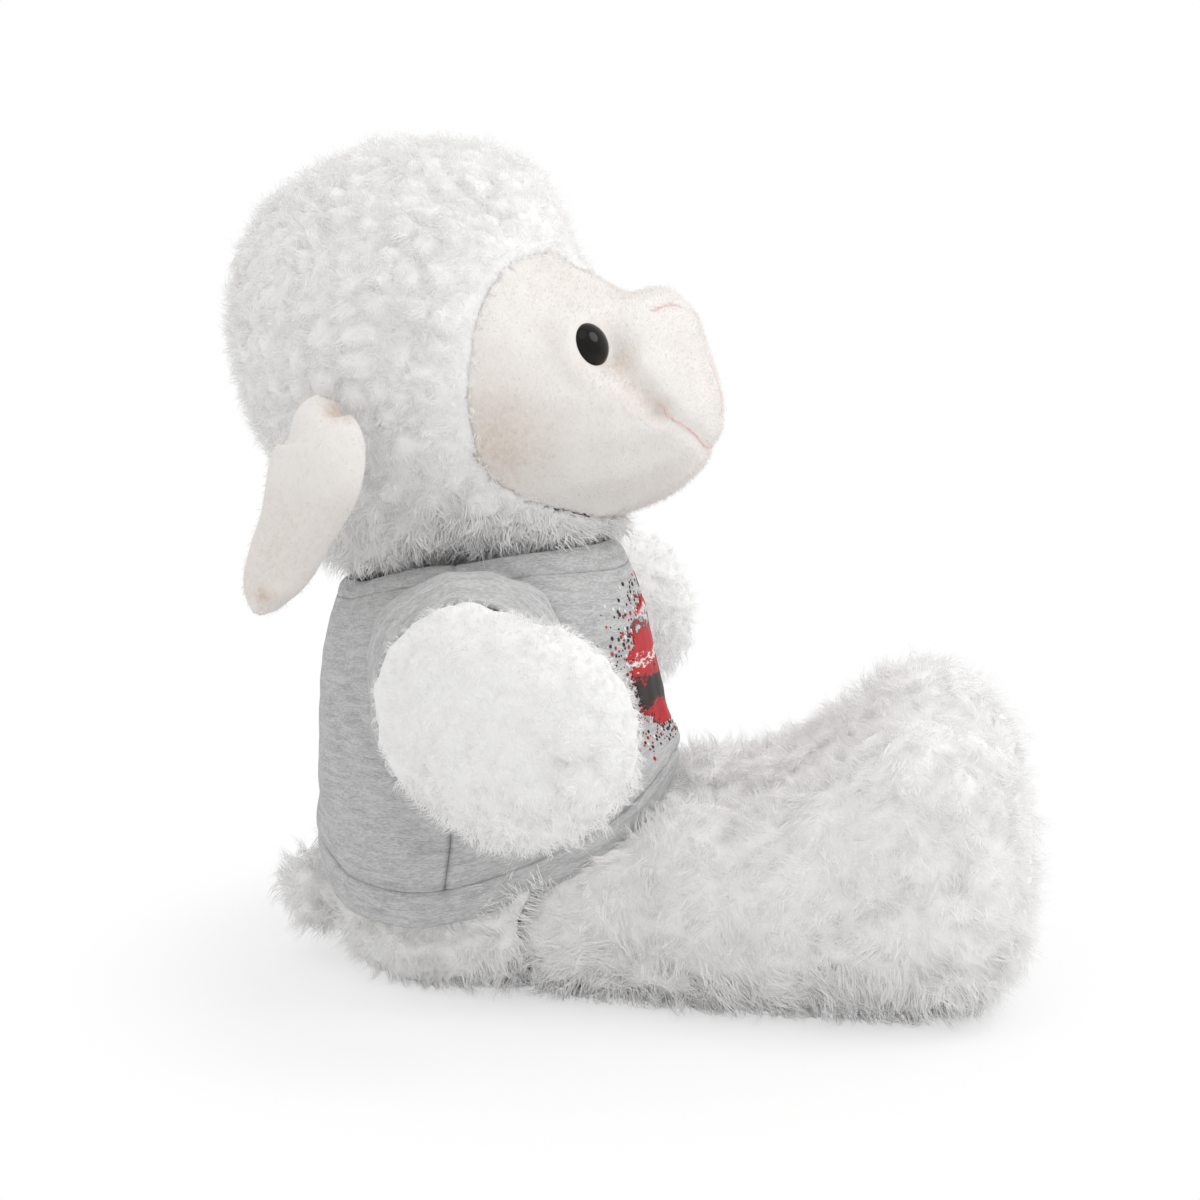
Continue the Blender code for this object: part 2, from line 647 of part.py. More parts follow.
def make_eye(tree, side):
    """One safety eye, its stem through the face panel and the lock washer behind it."""
    place, normal = on_form(tree, head_point(*EYE_SHARES), (0.0, side, 0.0))
    aim = normal.to_track_quat("Z", "Y").to_matrix().to_4x4()
    frame = Matrix.Translation(place + normal * EYE_LIFT) @ aim
    profile = [(0.0, EYE_RIM + EYE_DOME)]
    for step in range(1, DOME_STEPS + 1):
        turn = math.pi / 2 * step / DOME_STEPS
        profile.append((EYE_RADIUS * math.sin(turn), EYE_RIM + EYE_DOME * math.cos(turn)))
    profile += [(EYE_RADIUS, 0.0), (STEM_RADIUS, 0.0), (STEM_RADIUS, -STEM_LENGTH), (0.0, -STEM_LENGTH)]
    eye = turned(f"eye_{sided(side)}", profile, BLACK_GLOSS, frame)
    bore = STEM_RADIUS + STEM_CLEARANCE
    top = -(EYE_LIFT + FACE_WALL + WASHER_SETBACK)
    outline = [(bore, top), (WASHER_RADIUS, top), (WASHER_RADIUS, top - WASHER_THICKNESS)]
    outline += [(bore, top - WASHER_THICKNESS), (bore, top)]
    washer = turned(f"eye_washer_{sided(side)}", outline, WASHER_PLASTIC, frame)
    stem_hole = drum(f"stem_hole_{sided(side)}", frame, bore, 2 * (STEM_LENGTH + STEM_CLEARANCE))
    pocket_depth = WASHER_THICKNESS + WASHER_CLEARANCE
    pocket_place = frame @ Matrix.Translation((0.0, 0.0, top - pocket_depth + CUT_OVERRUN / 2))
    pocket_radius = WASHER_RADIUS + WASHER_CLEARANCE
    pocket = drum(f"washer_pocket_{sided(side)}", pocket_place, pocket_radius, CUT_OVERRUN)
    return eye, washer, stem_hole, pocket


def thread(name, tree, stations, finish):
    """A line of embroidery: a thick thread that lies on the muzzle through those stations."""
    heart = head_point(*MUZZLE_SHARES)
    points = []
    for start, end in zip(stations, stations[1:]):
        for step in range(THREAD_STEPS + 1):
            station = start.lerp(end, step / THREAD_STEPS)
            if step or start is stations[0]:
                points.append(on_form(tree, station, station - heart))
    curve = bpy.data.curves.new(name, "CURVE")
    curve.dimensions = "3D"
    curve.bevel_depth = THREAD_RADIUS
    curve.bevel_resolution = 1
    curve.use_fill_caps = True
    line = curve.splines.new("POLY")
    line.points.add(len(points) - 1)
    for spot, (place, normal) in zip(line.points, points):
        spot.co = (*(place + normal * (THREAD_RADIUS + THREAD_LIFT)), 1.0)
    return keep(bpy.data.objects.new(name, curve), finish)


def make_embroidery(tree):
    """The nose and mouth, embroidered in pink: the nostril line, one down the middle and the mouth."""
    lines = []
    for name, shares in (("nostril_stitch", NOSTRIL_SHARES), ("mouth_stitch", MOUTH_SHARES)):
        left = [head_point(*place) for place in shares]
        right = [Vector((place.x, -place.y, place.z)) for place in reversed(left)]
        lines.append(thread(name, tree, [*left, *right], PINK_THREAD))
    middle = [head_point(*place) for place in NOSE_LINE_SHARES]
    lines.append(thread("nose_line_stitch", tree, middle, PINK_THREAD))
    return lines


def ear_place(tree, side):
    """The ear's root: on the wool at the side of the head, X down along the ear, Y outwards."""
    place, _ = on_form(tree, head_point(*EAR_SHARES), (0.0, side, 0.0))
    down = Vector((-math.sin(EAR_SWEEP), 0.0, -math.cos(EAR_SWEEP)))
    out = Vector((0.0, side, 0.0))
    turn = Matrix((down, out, down.cross(out))).transposed().to_4x4()
    root_cup = EAR_CUP * EAR_OUTLINE_SHARES[0][1]
    return Matrix.Translation(place + out * (root_cup + EAR_PLY + SEAM_GAP + EAR_CLEARANCE)) @ turn


def ear_ply(name, place, level, finish):
    """One ply of an ear: a cupped leaf that bows outwards, with level saying how far out it lies."""
    rows = []
    for along, wide in (*EAR_OUTLINE_SHARES, (1.0, 0.0)):
        row = []
        for step in range(EAR_COLUMNS + 1):
            s = 2.0 * step / EAR_COLUMNS - 1.0
            bow = EAR_BOW * math.sin(math.pi * along)
            cup = EAR_CUP * wide * s * s
            row.append(Vector((along * EAR_LENGTH, bow - cup + level, s * wide * EAR_WIDTH / 2)))
        rows.append(row)
    sheet = bmesh.new()
    grid = [[sheet.verts.new(point) for point in row] for row in rows[:-1]]
    tip = sheet.verts.new(rows[-1][0])
    for upper, lower in zip(grid, grid[1:]):
        for step in range(EAR_COLUMNS):
            sheet.faces.new((upper[step], upper[step + 1], lower[step + 1], lower[step]))
    for step in range(EAR_COLUMNS):
        sheet.faces.new((grid[-1][step], grid[-1][step + 1], tip))
    mesh = bpy.data.meshes.new(name)
    sheet.to_mesh(mesh)
    sheet.free()
    obj = solid(name, mesh, finish, place)
    smooth = obj.modifiers.new("smooth", "SUBSURF")
    smooth.levels = smooth.render_levels = 1
    thick = obj.modifiers.new("cloth", "SOLIDIFY")
    thick.thickness = EAR_PLY
    thick.offset = 0.0
    return obj


def make_ear(tree, side):
    """One ear: an outer and an inner ply, sewn back to back."""
    place = ear_place(tree, side)
    apart = (EAR_PLY + SEAM_GAP) / 2
    outer = ear_ply(f"ear_outer_{sided(side)}", place, apart, CREAM_PLUSH)
    inner = ear_ply(f"ear_inner_{sided(side)}", place, -apart, CREAM_PLUSH)
    return [outer, inner]


def centre_on_floor(joints):
    """Slides the toy along X, so that the origin is under the middle of its box."""
    bpy.context.view_layer.update()
    graph = bpy.context.evaluated_depsgraph_get()
    reach = []
    for obj in bpy.data.collections["plush_sheep"].objects:
        seen = obj.evaluated_get(graph)
        mesh = seen.to_mesh()
        reach += [(obj.matrix_world @ vertex.co).x for vertex in mesh.vertices]
        seen.to_mesh_clear()
    offset = Matrix.Translation((-(min(reach) + max(reach)) / 2, 0.0, 0.0))
    roots = [obj for obj in bpy.context.scene.objects if obj.parent is None]
    for obj in roots:
        obj.matrix_world = offset @ obj.matrix_world
    bpy.context.view_layer.update()
    for joint in joints:
        spot = joint.matrix_world
        print("joint", joint.name, [round(v, 5) for v in spot.translation])


def build():
    """Makes every piece, hangs the moving ones from their joints and centres the toy."""
    for obj in list(bpy.data.objects):
        bpy.data.objects.remove(obj)
    floor = slab("floor", -CUT_OVERRUN, 0.0)
    sockets = make_sockets()
    make_torso(sockets, floor)
    make_tee([tool for tool in sockets if tool.name.startswith("shoulder")])
    form, wool, face, stuffing = make_head(sockets[0])
    tree = BVHTree.FromPolygons([v.co for v in form.vertices], [p.vertices for p in form.polygons])
    neck_joint = pivot("neck_joint", neck_place())
    tail_joint = pivot("tail_joint", tail_place())
    hang(neck_joint, make_neck(), wool, face, stuffing, *make_embroidery(tree))
    hang(tail_joint, *make_tail())
    joints = [neck_joint, tail_joint]
    for side in (1, -1):
        ear_joint = pivot(f"ear_joint_{sided(side)}", ear_place(tree, side))
        shoulder_joint = pivot(f"shoulder_joint_{sided(side)}", shoulder_place(side))
        hip_joint = pivot(f"hip_joint_{sided(side)}", hip_place(side))
        eye, washer, stem_hole, pocket = make_eye(tree, side)
        cut(face, stem_hole)
        cut(stuffing, stem_hole, pocket)
        hang(ear_joint, *make_ear(tree, side))
        hang(neck_joint, eye, washer, ear_joint)
        hang(shoulder_joint, *make_arm(side), make_sleeve(side))
        hang(hip_joint, *make_leg(side, floor))
        joints += [ear_joint, shoulder_joint, hip_joint]
    centre_on_floor(joints)


build()
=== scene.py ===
# %% [markdown]
# # A plush sheep in a grey tee
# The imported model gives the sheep's plain solids and says which body each one moves with. This lesson
# dresses them. Every cloth piece is made again as a finer mesh on the same spot, then it gets its
# fleece, pile, knit or thread. All lengths are in metres, so a few named units keep the numbers
# readable.

# %% Load the frame
import json
import math

import bmesh
import bpy
import numpy as np
from mathutils import Matrix, Vector, noise
from mathutils.bvhtree import BVHTree

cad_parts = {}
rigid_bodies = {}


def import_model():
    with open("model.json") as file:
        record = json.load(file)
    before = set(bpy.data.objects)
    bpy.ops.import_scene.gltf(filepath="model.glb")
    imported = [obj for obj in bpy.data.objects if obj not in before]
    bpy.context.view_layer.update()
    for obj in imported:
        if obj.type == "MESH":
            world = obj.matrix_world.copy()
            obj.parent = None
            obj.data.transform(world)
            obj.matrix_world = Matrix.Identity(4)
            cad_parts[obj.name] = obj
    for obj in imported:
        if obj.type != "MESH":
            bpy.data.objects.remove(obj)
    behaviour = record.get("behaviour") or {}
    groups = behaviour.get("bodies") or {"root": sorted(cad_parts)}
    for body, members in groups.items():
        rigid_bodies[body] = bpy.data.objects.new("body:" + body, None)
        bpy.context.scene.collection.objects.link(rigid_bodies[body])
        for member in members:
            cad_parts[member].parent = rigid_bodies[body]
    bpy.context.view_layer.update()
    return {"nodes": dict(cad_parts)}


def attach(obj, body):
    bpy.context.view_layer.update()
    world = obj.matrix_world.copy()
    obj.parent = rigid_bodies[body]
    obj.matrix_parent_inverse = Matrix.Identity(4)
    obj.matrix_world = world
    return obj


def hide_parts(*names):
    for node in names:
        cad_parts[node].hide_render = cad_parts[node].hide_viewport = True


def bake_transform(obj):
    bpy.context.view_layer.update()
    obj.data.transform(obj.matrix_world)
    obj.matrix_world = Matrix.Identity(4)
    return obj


MM = 0.001
SIDES = (("left", 1), ("right", -1))
noise.seed_set(5)  # without a seed of its own, the noise would differ from run to run
for leftover in list(bpy.data.objects):
    bpy.data.objects.remove(leftover)
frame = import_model()

# %% [markdown]
# ## Looking at the toy
# The photograph is a side view from slightly above, a little to the front of the sheep. The camera goes
# there first, so that each piece can be judged in the same picture. Its lens follows from how many
# millimetres of the toy one picture point covers.

# %% Camera
PICTURE_WIDE = 1200 * 0.236 * MM
CAMERA_DISTANCE = 635 * MM
CAMERA_TARGET = Vector((-7 * MM, 0, 88 * MM))
CAMERA_TURN, CAMERA_RISE = math.radians(6), math.radians(10)
SENSOR = 36.0

lens = bpy.data.cameras.new("camera")
lens.sensor_width = SENSOR
lens.lens = SENSOR * CAMERA_DISTANCE / PICTURE_WIDE
lens.clip_start, lens.clip_end = 10 * MM, 20
camera = bpy.data.objects.new("camera", lens)
bpy.context.scene.collection.objects.link(camera)
back = Vector((math.sin(CAMERA_TURN), -math.cos(CAMERA_TURN), math.tan(CAMERA_RISE))).normalized()
camera.location = CAMERA_TARGET + back * CAMERA_DISTANCE
camera.rotation_euler = back.to_track_quat("Z", "Y").to_euler()
bpy.context.scene.camera = camera
bpy.context.scene.view_settings.view_transform = "Standard"
print("camera stands at", [round(v / MM) for v in camera.location], "mm, lens", round(lens.lens, 1))

# %% [markdown]
# ## Light and ground
# A product photograph of white fur on white needs wide, soft light: a bright room all round and one
# large lamp above. The ground near the toy is an ordinary matte white, which takes the contact shadow.
# Further out it fades to plain white for the camera, so that no horizon shows.

# %% Node helper
def node(tree, kind, links=None, **settings):
    """A node with its inputs, by name or number, linked or set. Settings are the node's own properties."""
    made = tree.nodes.new(kind)
    for name, value in settings.items():
        setattr(made, name, value)
    for name, value in (links or {}).items():
        socket = made.inputs[name]
        if isinstance(value, bpy.types.NodeSocket):
            tree.links.new(value, socket)
        elif isinstance(value, bpy.types.Node):
            tree.links.new(value.outputs[0], socket)
        else:
            socket.default_value = value
    return made


# %% World, lamp and ground
HORIZON, HORIZON_LIGHT = -0.1, 0.80
CEILING, CEILING_LIGHT = 0.9, 0.88

world = bpy.data.worlds.new("white_room")
bpy.context.scene.world = world
world.use_nodes = True
tree = world.node_tree
tree.nodes.clear()
ray = node(tree, "ShaderNodeLightPath")
sky = node(tree, "ShaderNodeSeparateXYZ", {0: node(tree, "ShaderNodeTexCoord").outputs["Generated"]})
glow = node(
    tree,
    "ShaderNodeMapRange",
    {0: sky.outputs["Z"], 1: HORIZON, 2: CEILING, 3: HORIZON_LIGHT, 4: CEILING_LIGHT},
)
room = node(tree, "ShaderNodeBackground", {"Color": (1, 1, 1, 1), "Strength": glow})
seen = node(tree, "ShaderNodeBackground", {"Color": (1, 1, 1, 1), "Strength": 1.0})
mixed = node(tree, "ShaderNodeMixShader", {0: ray.outputs["Is Camera Ray"], 1: room, 2: seen})
node(tree, "ShaderNodeOutputWorld", {"Surface": mixed})

LAMPS = (
    # name, watts, disc in metres, place
    ("softbox", 0.6, 0.60, (0.12, -0.35, 0.95)),
    ("catchlight", 0.85, 0.30, (0.415, -0.02, 0.51)),
)
for name, watts, disc, place in LAMPS:
    bulb = bpy.data.lights.new(name, "AREA")
    bulb.shape, bulb.size, bulb.energy = "DISK", disc, watts
    lamp = bpy.data.objects.new(name, bulb)
    bpy.context.scene.collection.objects.link(lamp)
    lamp.location = place
    lamp.rotation_euler = (lamp.location - CAMERA_TARGET).to_track_quat("Z", "Y").to_euler()

GROUND_SIZE, CLEAR_FROM, CLEAR_TO, CLEAR_NEAR = 6.0, 0.085, 0.14, 0.6
bpy.ops.mesh.primitive_plane_add(size=GROUND_SIZE)
ground = bpy.context.object
ground.name = "ground"
paper = bpy.data.materials.new("white_ground")
paper.use_nodes = True
tree = paper.node_tree
tree.nodes.clear()
where = node(tree, "ShaderNodeTexCoord")
far = node(tree, "ShaderNodeVectorMath", {0: where.outputs["Object"]}, operation="LENGTH")
clear = node(
    tree,
    "ShaderNodeMapRange",
    {0: far.outputs["Value"], 1: CLEAR_FROM, 2: CLEAR_TO, 3: CLEAR_NEAR, 4: 1.0},
    interpolation_type="SMOOTHSTEP",
)
ray = node(tree, "ShaderNodeLightPath")
direct = node(tree, "ShaderNodeMath", {0: clear, 1: ray.outputs["Is Camera Ray"]}, operation="MULTIPLY")
matte = node(tree, "ShaderNodeBsdfDiffuse", {"Color": (0.95, 0.95, 0.95, 1)})
plain = node(tree, "ShaderNodeEmission", {"Color": (1, 1, 1, 1), "Strength": 1.0})
mixed = node(tree, "ShaderNodeMixShader", {0: direct, 1: matte, 2: plain})
node(tree, "ShaderNodeOutputMaterial", {"Surface": mixed})
ground.data.materials.append(paper)
print("ground", GROUND_SIZE, "m wide, white from", CLEAR_TO, "m out")

# %% [markdown]
# ## Smooth forms under the cloth
# The solids of the model are coarse. A fine, even mesh is better for growing fleece and for pressing
# dimples and creases into. A skin and its filling are joined in a copy, remeshed in small cubes, which
# melts them into one closed form, and then relaxed. The form is drawn in a little, because fleece adds
# its own thickness.

# %% Forms from the solids
def new_object(name, mesh):
    """An object for a mesh, in the scene."""
    obj = bpy.data.objects.new(name, mesh)
    bpy.context.scene.collection.objects.link(obj)
    return obj


def shell_of(obj):
    """The mesh of an object, opened for edits."""
    shell = bmesh.new()
    shell.from_mesh(obj.data)
    return shell


def write_back(shell, obj):
    """Closes an opened mesh into its object."""
    shell.to_mesh(obj.data)
    shell.free()


def object_of(shell, name):
    """A new smooth object from a mesh built in the open."""
    obj = new_object(name, bpy.data.meshes.new(name))
    write_back(shell, obj)
    obj.data.shade_smooth()
    return obj


def baked(obj):
    """Replaces an object's mesh by the one that its modifiers make, and drops them."""
    bpy.context.view_layer.update()
    graph = bpy.context.evaluated_depsgraph_get()
    mesh = bpy.data.meshes.new_from_object(obj.evaluated_get(graph), depsgraph=graph)
    obj.modifiers.clear()
    obj.data = mesh
    return obj


SWELL = 0.6 * MM


def form(name, nodes, cube, draw_in, relax, plugs=()):
    """One closed, even mesh round those solids. plugs are balls that fill holes, as centre and radius."""
    gathered = bmesh.new()
    for title in nodes:
        gathered.from_mesh(frame["nodes"][title].data)
    bmesh.ops.remove_doubles(gathered, verts=gathered.verts, dist=0.001 * MM)
    gathered.normal_update()
    for vertex, normal in [(v, v.normal.copy()) for v in gathered.verts]:
        vertex.co += normal * SWELL
    for centre, radius in plugs:
        spot = Matrix.Translation(centre)
        bmesh.ops.create_icosphere(gathered, subdivisions=3, radius=radius, matrix=spot)
    obj = object_of(gathered, name)
    melt = obj.modifiers.new("melt", "REMESH")
    melt.mode = "VOXEL"
    melt.voxel_size = cube
    ease = obj.modifiers.new("ease", "SMOOTH")
    ease.factor, ease.iterations = 0.5, relax
    baked(obj)
    shell = shell_of(obj)
    keep_largest(shell)
    bmesh.ops.recalc_face_normals(shell, faces=shell.faces)
    shell.normal_update()
    for vertex, normal in [(v, v.normal.copy()) for v in shell.verts]:
        vertex.co -= normal * (draw_in + SWELL)
    write_back(shell, obj)
    obj.data.shade_smooth()
    print(name, len(obj.data.polygons), "faces")
    return obj


def keep_largest(mesh):
    """Deletes everything but the mesh's largest connected shell."""
    todo, shells = set(mesh.verts), []
    while todo:
        seed = todo.pop()
        shell, edge = {seed}, [seed]
        while edge:
            for link in edge.pop().link_edges:
                for vertex in link.verts:
                    if vertex not in shell:
                        shell.add(vertex)
                        edge.append(vertex)
        todo -= shell
        shells.append(shell)
    shells.sort(key=len)
    bmesh.ops.delete(mesh, geom=[v for shell in shells[:-1] for v in shell], context="VERTS")


CUBE, HEAD_CUBE, FUR_ROOM = 1.3 * MM, 1.1 * MM, 0.3 * MM
torso_form = form("body_skin", ("body_shell", "body_filling", "seat_pouch"), CUBE, FUR_ROOM, 8)
EYE_PLUGS = [(Vector((-6.1, sign * 24.3, 151.3)) * MM, 5.2 * MM) for sign in (-1, 1)]
head_form = form(
    "head_skin", ("head_fleece", "face_panel", "head_filling"), HEAD_CUBE, 0.0, 12, plugs=EYE_PLUGS
)
tail_form = form("tail_skin", ("tail_shell", "tail_filling"), CUBE, FUR_ROOM, 6)
limb_forms = {}
for side, _ in SIDES:
    for limb in ("arm", "leg"):
        solids = (f"{limb}_{side}_shell", f"{limb}_{side}_filling")
        limb_forms[limb, side] = form(f"{limb}_skin_{side}", solids, CUBE, FUR_ROOM, 8)

# %% [markdown]
# ## A lock of fleece
# Curly fleece is made of small locks: a dozen or so fibres that start side by side and lean together
# towards a tip. Millions of real fibres would be too heavy, so each modelled fibre stands for a small
# bundle of them. A node tree draws one lock from a few named sizes, and six seeds of it give enough
# variety.

# %% Tree helpers
def tree_of(name, sockets):
    """A geometry node tree with those inputs, given as name, kind and default, and its two end nodes."""
    tree = bpy.data.node_groups.new(name, "GeometryNodeTree")
    tree.interface.new_socket("Geometry", in_out="INPUT", socket_type="NodeSocketGeometry")
    for title, kind, value in sockets:
        socket = tree.interface.new_socket(title, in_out="INPUT", socket_type="NodeSocket" + kind)
        if value is not None:
            socket.default_value = value
    tree.interface.new_socket("Geometry", in_out="OUTPUT", socket_type="NodeSocketGeometry")
    return tree, node(tree, "NodeGroupInput").outputs


def run_tree(name, tree, values, mesh=None):
    """A new object with what a tree makes from a mesh and those input values."""
    obj = new_object(name, mesh or bpy.data.meshes.new(name))
    recipe = obj.modifiers.new("recipe", "NODES")
    recipe.node_group = tree
    sockets = {s.name: s.identifier for s in tree.interface.items_tree if s.in_out == "INPUT"}
    for title, value in values.items():
        recipe[sockets[title]] = value
    return baked(obj)


def triangles(obj):
    """How many triangles an object has."""
    obj.data.calc_loop_triangles()
    return len(obj.data.loop_triangles)


def maths(tree, operation, first, second=0.0, third=0.0):
    """One arithmetic node."""
    return node(tree, "ShaderNodeMath", {0: first, 1: second, 2: third}, operation=operation)


def vectors(tree, operation, first, second=(0, 0, 0), **more):
    """One vector arithmetic node."""
    return node(tree, "ShaderNodeVectorMath", {0: first, 1: second, **more}, operation=operation)


def chance(tree, low, high, seed, key=None):
    """A random number for each element, or for each value of key."""
    links = {2: low, 3: high, "Seed": seed}
    if key is not None:
        links["ID"] = key
    return node(tree, "FunctionNodeRandomValue", links, data_type="FLOAT").outputs[1]


def name_value(tree, geometry, title, value, kind="FLOAT"):
    """Stores a value on each point under a name that a material can read."""
    return node(
        tree,
        "GeometryNodeStoreNamedAttribute",
        {"Geometry": geometry, "Name": title, "Value": value},
        data_type=kind,
        domain="POINT",
    )


def read_value(tree, title, kind="FLOAT"):
    """Reads a value stored under a name."""
    return node(tree, "GeometryNodeInputNamedAttribute", {"Name": title}, data_type=kind)


def scattered(tree, given, crowd, likely):
    """Points over the given mesh, at its spacing, where the value called likely is high."""
    square = maths(tree, "MULTIPLY", given["Spacing"], given["Spacing"])
    return node(
        tree,
        "GeometryNodeDistributePointsOnFaces",
        {
            "Mesh": given["Geometry"],
            "Distance Min": given["Spacing"],
            "Density Max": maths(tree, "DIVIDE", crowd, square),
            "Density Factor": read_value(tree, likely),
            "Seed": given["Seed"],
        },
        distribute_method="POISSON",
    )


def end_tree(tree, given, placed):
    """Makes the placed copies real, gives them the finish and ends the tree."""
    real = node(tree, "GeometryNodeRealizeInstances", {"Geometry": placed})
    done = node(tree, "GeometryNodeSetMaterial", {"Geometry": real, "Material": given["Finish"]})
    node(tree, "NodeGroupOutput", {"Geometry": done})
    return tree


# %% Tree of one lock
def make_lock_tree():
    """Fibres that rise from a small disc, bend over and draw together at the tip."""
    tree, given = tree_of(
        "fleece_lock",
        (
            ("Fibres", "Int", 12),
            ("Steps", "Int", 2),
            ("Length", "Float", 6 * MM),
            ("Spread", "Float", 1.6 * MM),
            ("Thickness", "Float", 0.2 * MM),
            ("Gather", "Float", 0.6),
            ("Bend", "Float", 0.6),
            ("Stray", "Float", 0.3),
            ("Seed", "Int", 1),
        ),
    )
    seed = given["Seed"]
    reach = maths(tree, "MULTIPLY", maths(tree, "SQRT", chance(tree, 0.0, 1.0, seed)), given["Spread"])
    turn = chance(tree, 0.0, math.tau, maths(tree, "ADD", seed, 31.0))
    root = node(
        tree,
        "ShaderNodeCombineXYZ",
        {
            "X": maths(tree, "MULTIPLY", reach, maths(tree, "COSINE", turn)),
            "Y": maths(tree, "MULTIPLY", reach, maths(tree, "SINE", turn)),
        },
    )
    roots = node(tree, "GeometryNodePoints", {"Count": given["Fibres"], "Position": root})
    rooted = name_value(tree, roots, "root", root, "FLOAT_VECTOR")
    keyed = name_value(tree, rooted, "key", node(tree, "GeometryNodeInputIndex"), "INT")
    spike = node(
        tree,
        "GeometryNodeMeshCone",
        {
            "Vertices": 3,
            "Side Segments": given["Steps"],
            "Radius Top": 0.0,
            "Radius Bottom": given["Thickness"],
            "Depth": 1.0,
        },
        fill_type="NGON",
    )
    fibres = node(
        tree,
        "GeometryNodeRealizeInstances",
        {"Geometry": node(tree, "GeometryNodeInstanceOnPoints", {"Points": keyed, "Instance": spike})},
    )
    fibre = read_value(tree, "key", "INT")
    start = node(tree, "ShaderNodeSeparateXYZ", {0: read_value(tree, "root", "FLOAT_VECTOR")})
    here = node(tree, "ShaderNodeSeparateXYZ", {0: node(tree, "GeometryNodeInputPosition")})
    along = here.outputs["Z"]
    tipped = name_value(tree, fibres, "tip", along)
    square = maths(tree, "MULTIPLY", along, along)
    gone = maths(tree, "MULTIPLY", given["Gather"], along)
    share = chance(tree, 0.6, 1.0, maths(tree, "ADD", seed, 7.0), fibre)
    size = maths(tree, "MULTIPLY", given["Length"], share)
    strays = []
    for extra in (11.0, 13.0):
        other_way = maths(tree, "MULTIPLY", given["Stray"], -1.0)
        strays.append(chance(tree, other_way, given["Stray"], maths(tree, "ADD", seed, extra), fibre))
    over = maths(tree, "MULTIPLY_ADD", square, given["Bend"], maths(tree, "MULTIPLY", along, strays[0]))
    aside = maths(tree, "MULTIPLY", along, strays[1])
    drop = maths(tree, "MULTIPLY", square, maths(tree, "MULTIPLY", given["Bend"], 0.45))
    shifts = []
    for axis, push in (("X", over), ("Y", aside)):
        drawn = maths(tree, "MULTIPLY", start.outputs[axis], gone)
        kept = maths(tree, "SUBTRACT", here.outputs[axis], drawn)
        shifts.append(maths(tree, "MULTIPLY_ADD", size, push, kept))
    rise = maths(tree, "MULTIPLY", size, maths(tree, "SUBTRACT", along, drop))
    place = node(tree, "ShaderNodeCombineXYZ", {"X": shifts[0], "Y": shifts[1], "Z": rise})
    bent = node(tree, "GeometryNodeSetPosition", {"Geometry": tipped, "Position": place})
    for title in ("root", "key"):
        bent = node(tree, "GeometryNodeRemoveAttribute", {"Geometry": bent, "Name": title})
    node(tree, "NodeGroupOutput", {"Geometry": bent})
    return tree


LOCK_TREE = make_lock_tree()
LOCK_SEEDS = (3, 17, 29, 41, 53, 67)


def make_locks(name, **sizes):
    """A collection of locks alike in size and different in detail."""
    shelf = bpy.data.collections.new(name)
    bpy.context.scene.collection.children.link(shelf)
    for seed in LOCK_SEEDS:
        lock = run_tree(f"{name}_{seed}", LOCK_TREE, {**sizes, "Seed": seed})
        bpy.context.scene.collection.objects.unlink(lock)
        shelf.objects.link(lock)
    print(name, len(shelf.objects), "locks of", triangles(shelf.objects[0]), "triangles")
    return shelf


short_locks = make_locks(
    "short_locks",
    Fibres=14, Steps=2, Length=4.6 * MM, Spread=1.7 * MM, Thickness=0.10 * MM,
    Gather=0.35, Bend=0.6, Stray=0.35,
)
long_locks = make_locks(
    "long_locks",
    Fibres=16, Steps=2, Length=7.5 * MM, Spread=2.1 * MM, Thickness=0.11 * MM,
    Gather=0.6, Bend=0.5, Stray=0.25,
)

# %% [markdown]
# ## Growing fleece on a form
# The second tree scatters locks over a form. Each form carries three values at its points: how dense
# the fleece is, how long, and which way it is combed. The lock leans that way, with some ruffling. Its
# instances are made real at the end, because a finished mesh can't hold instances.

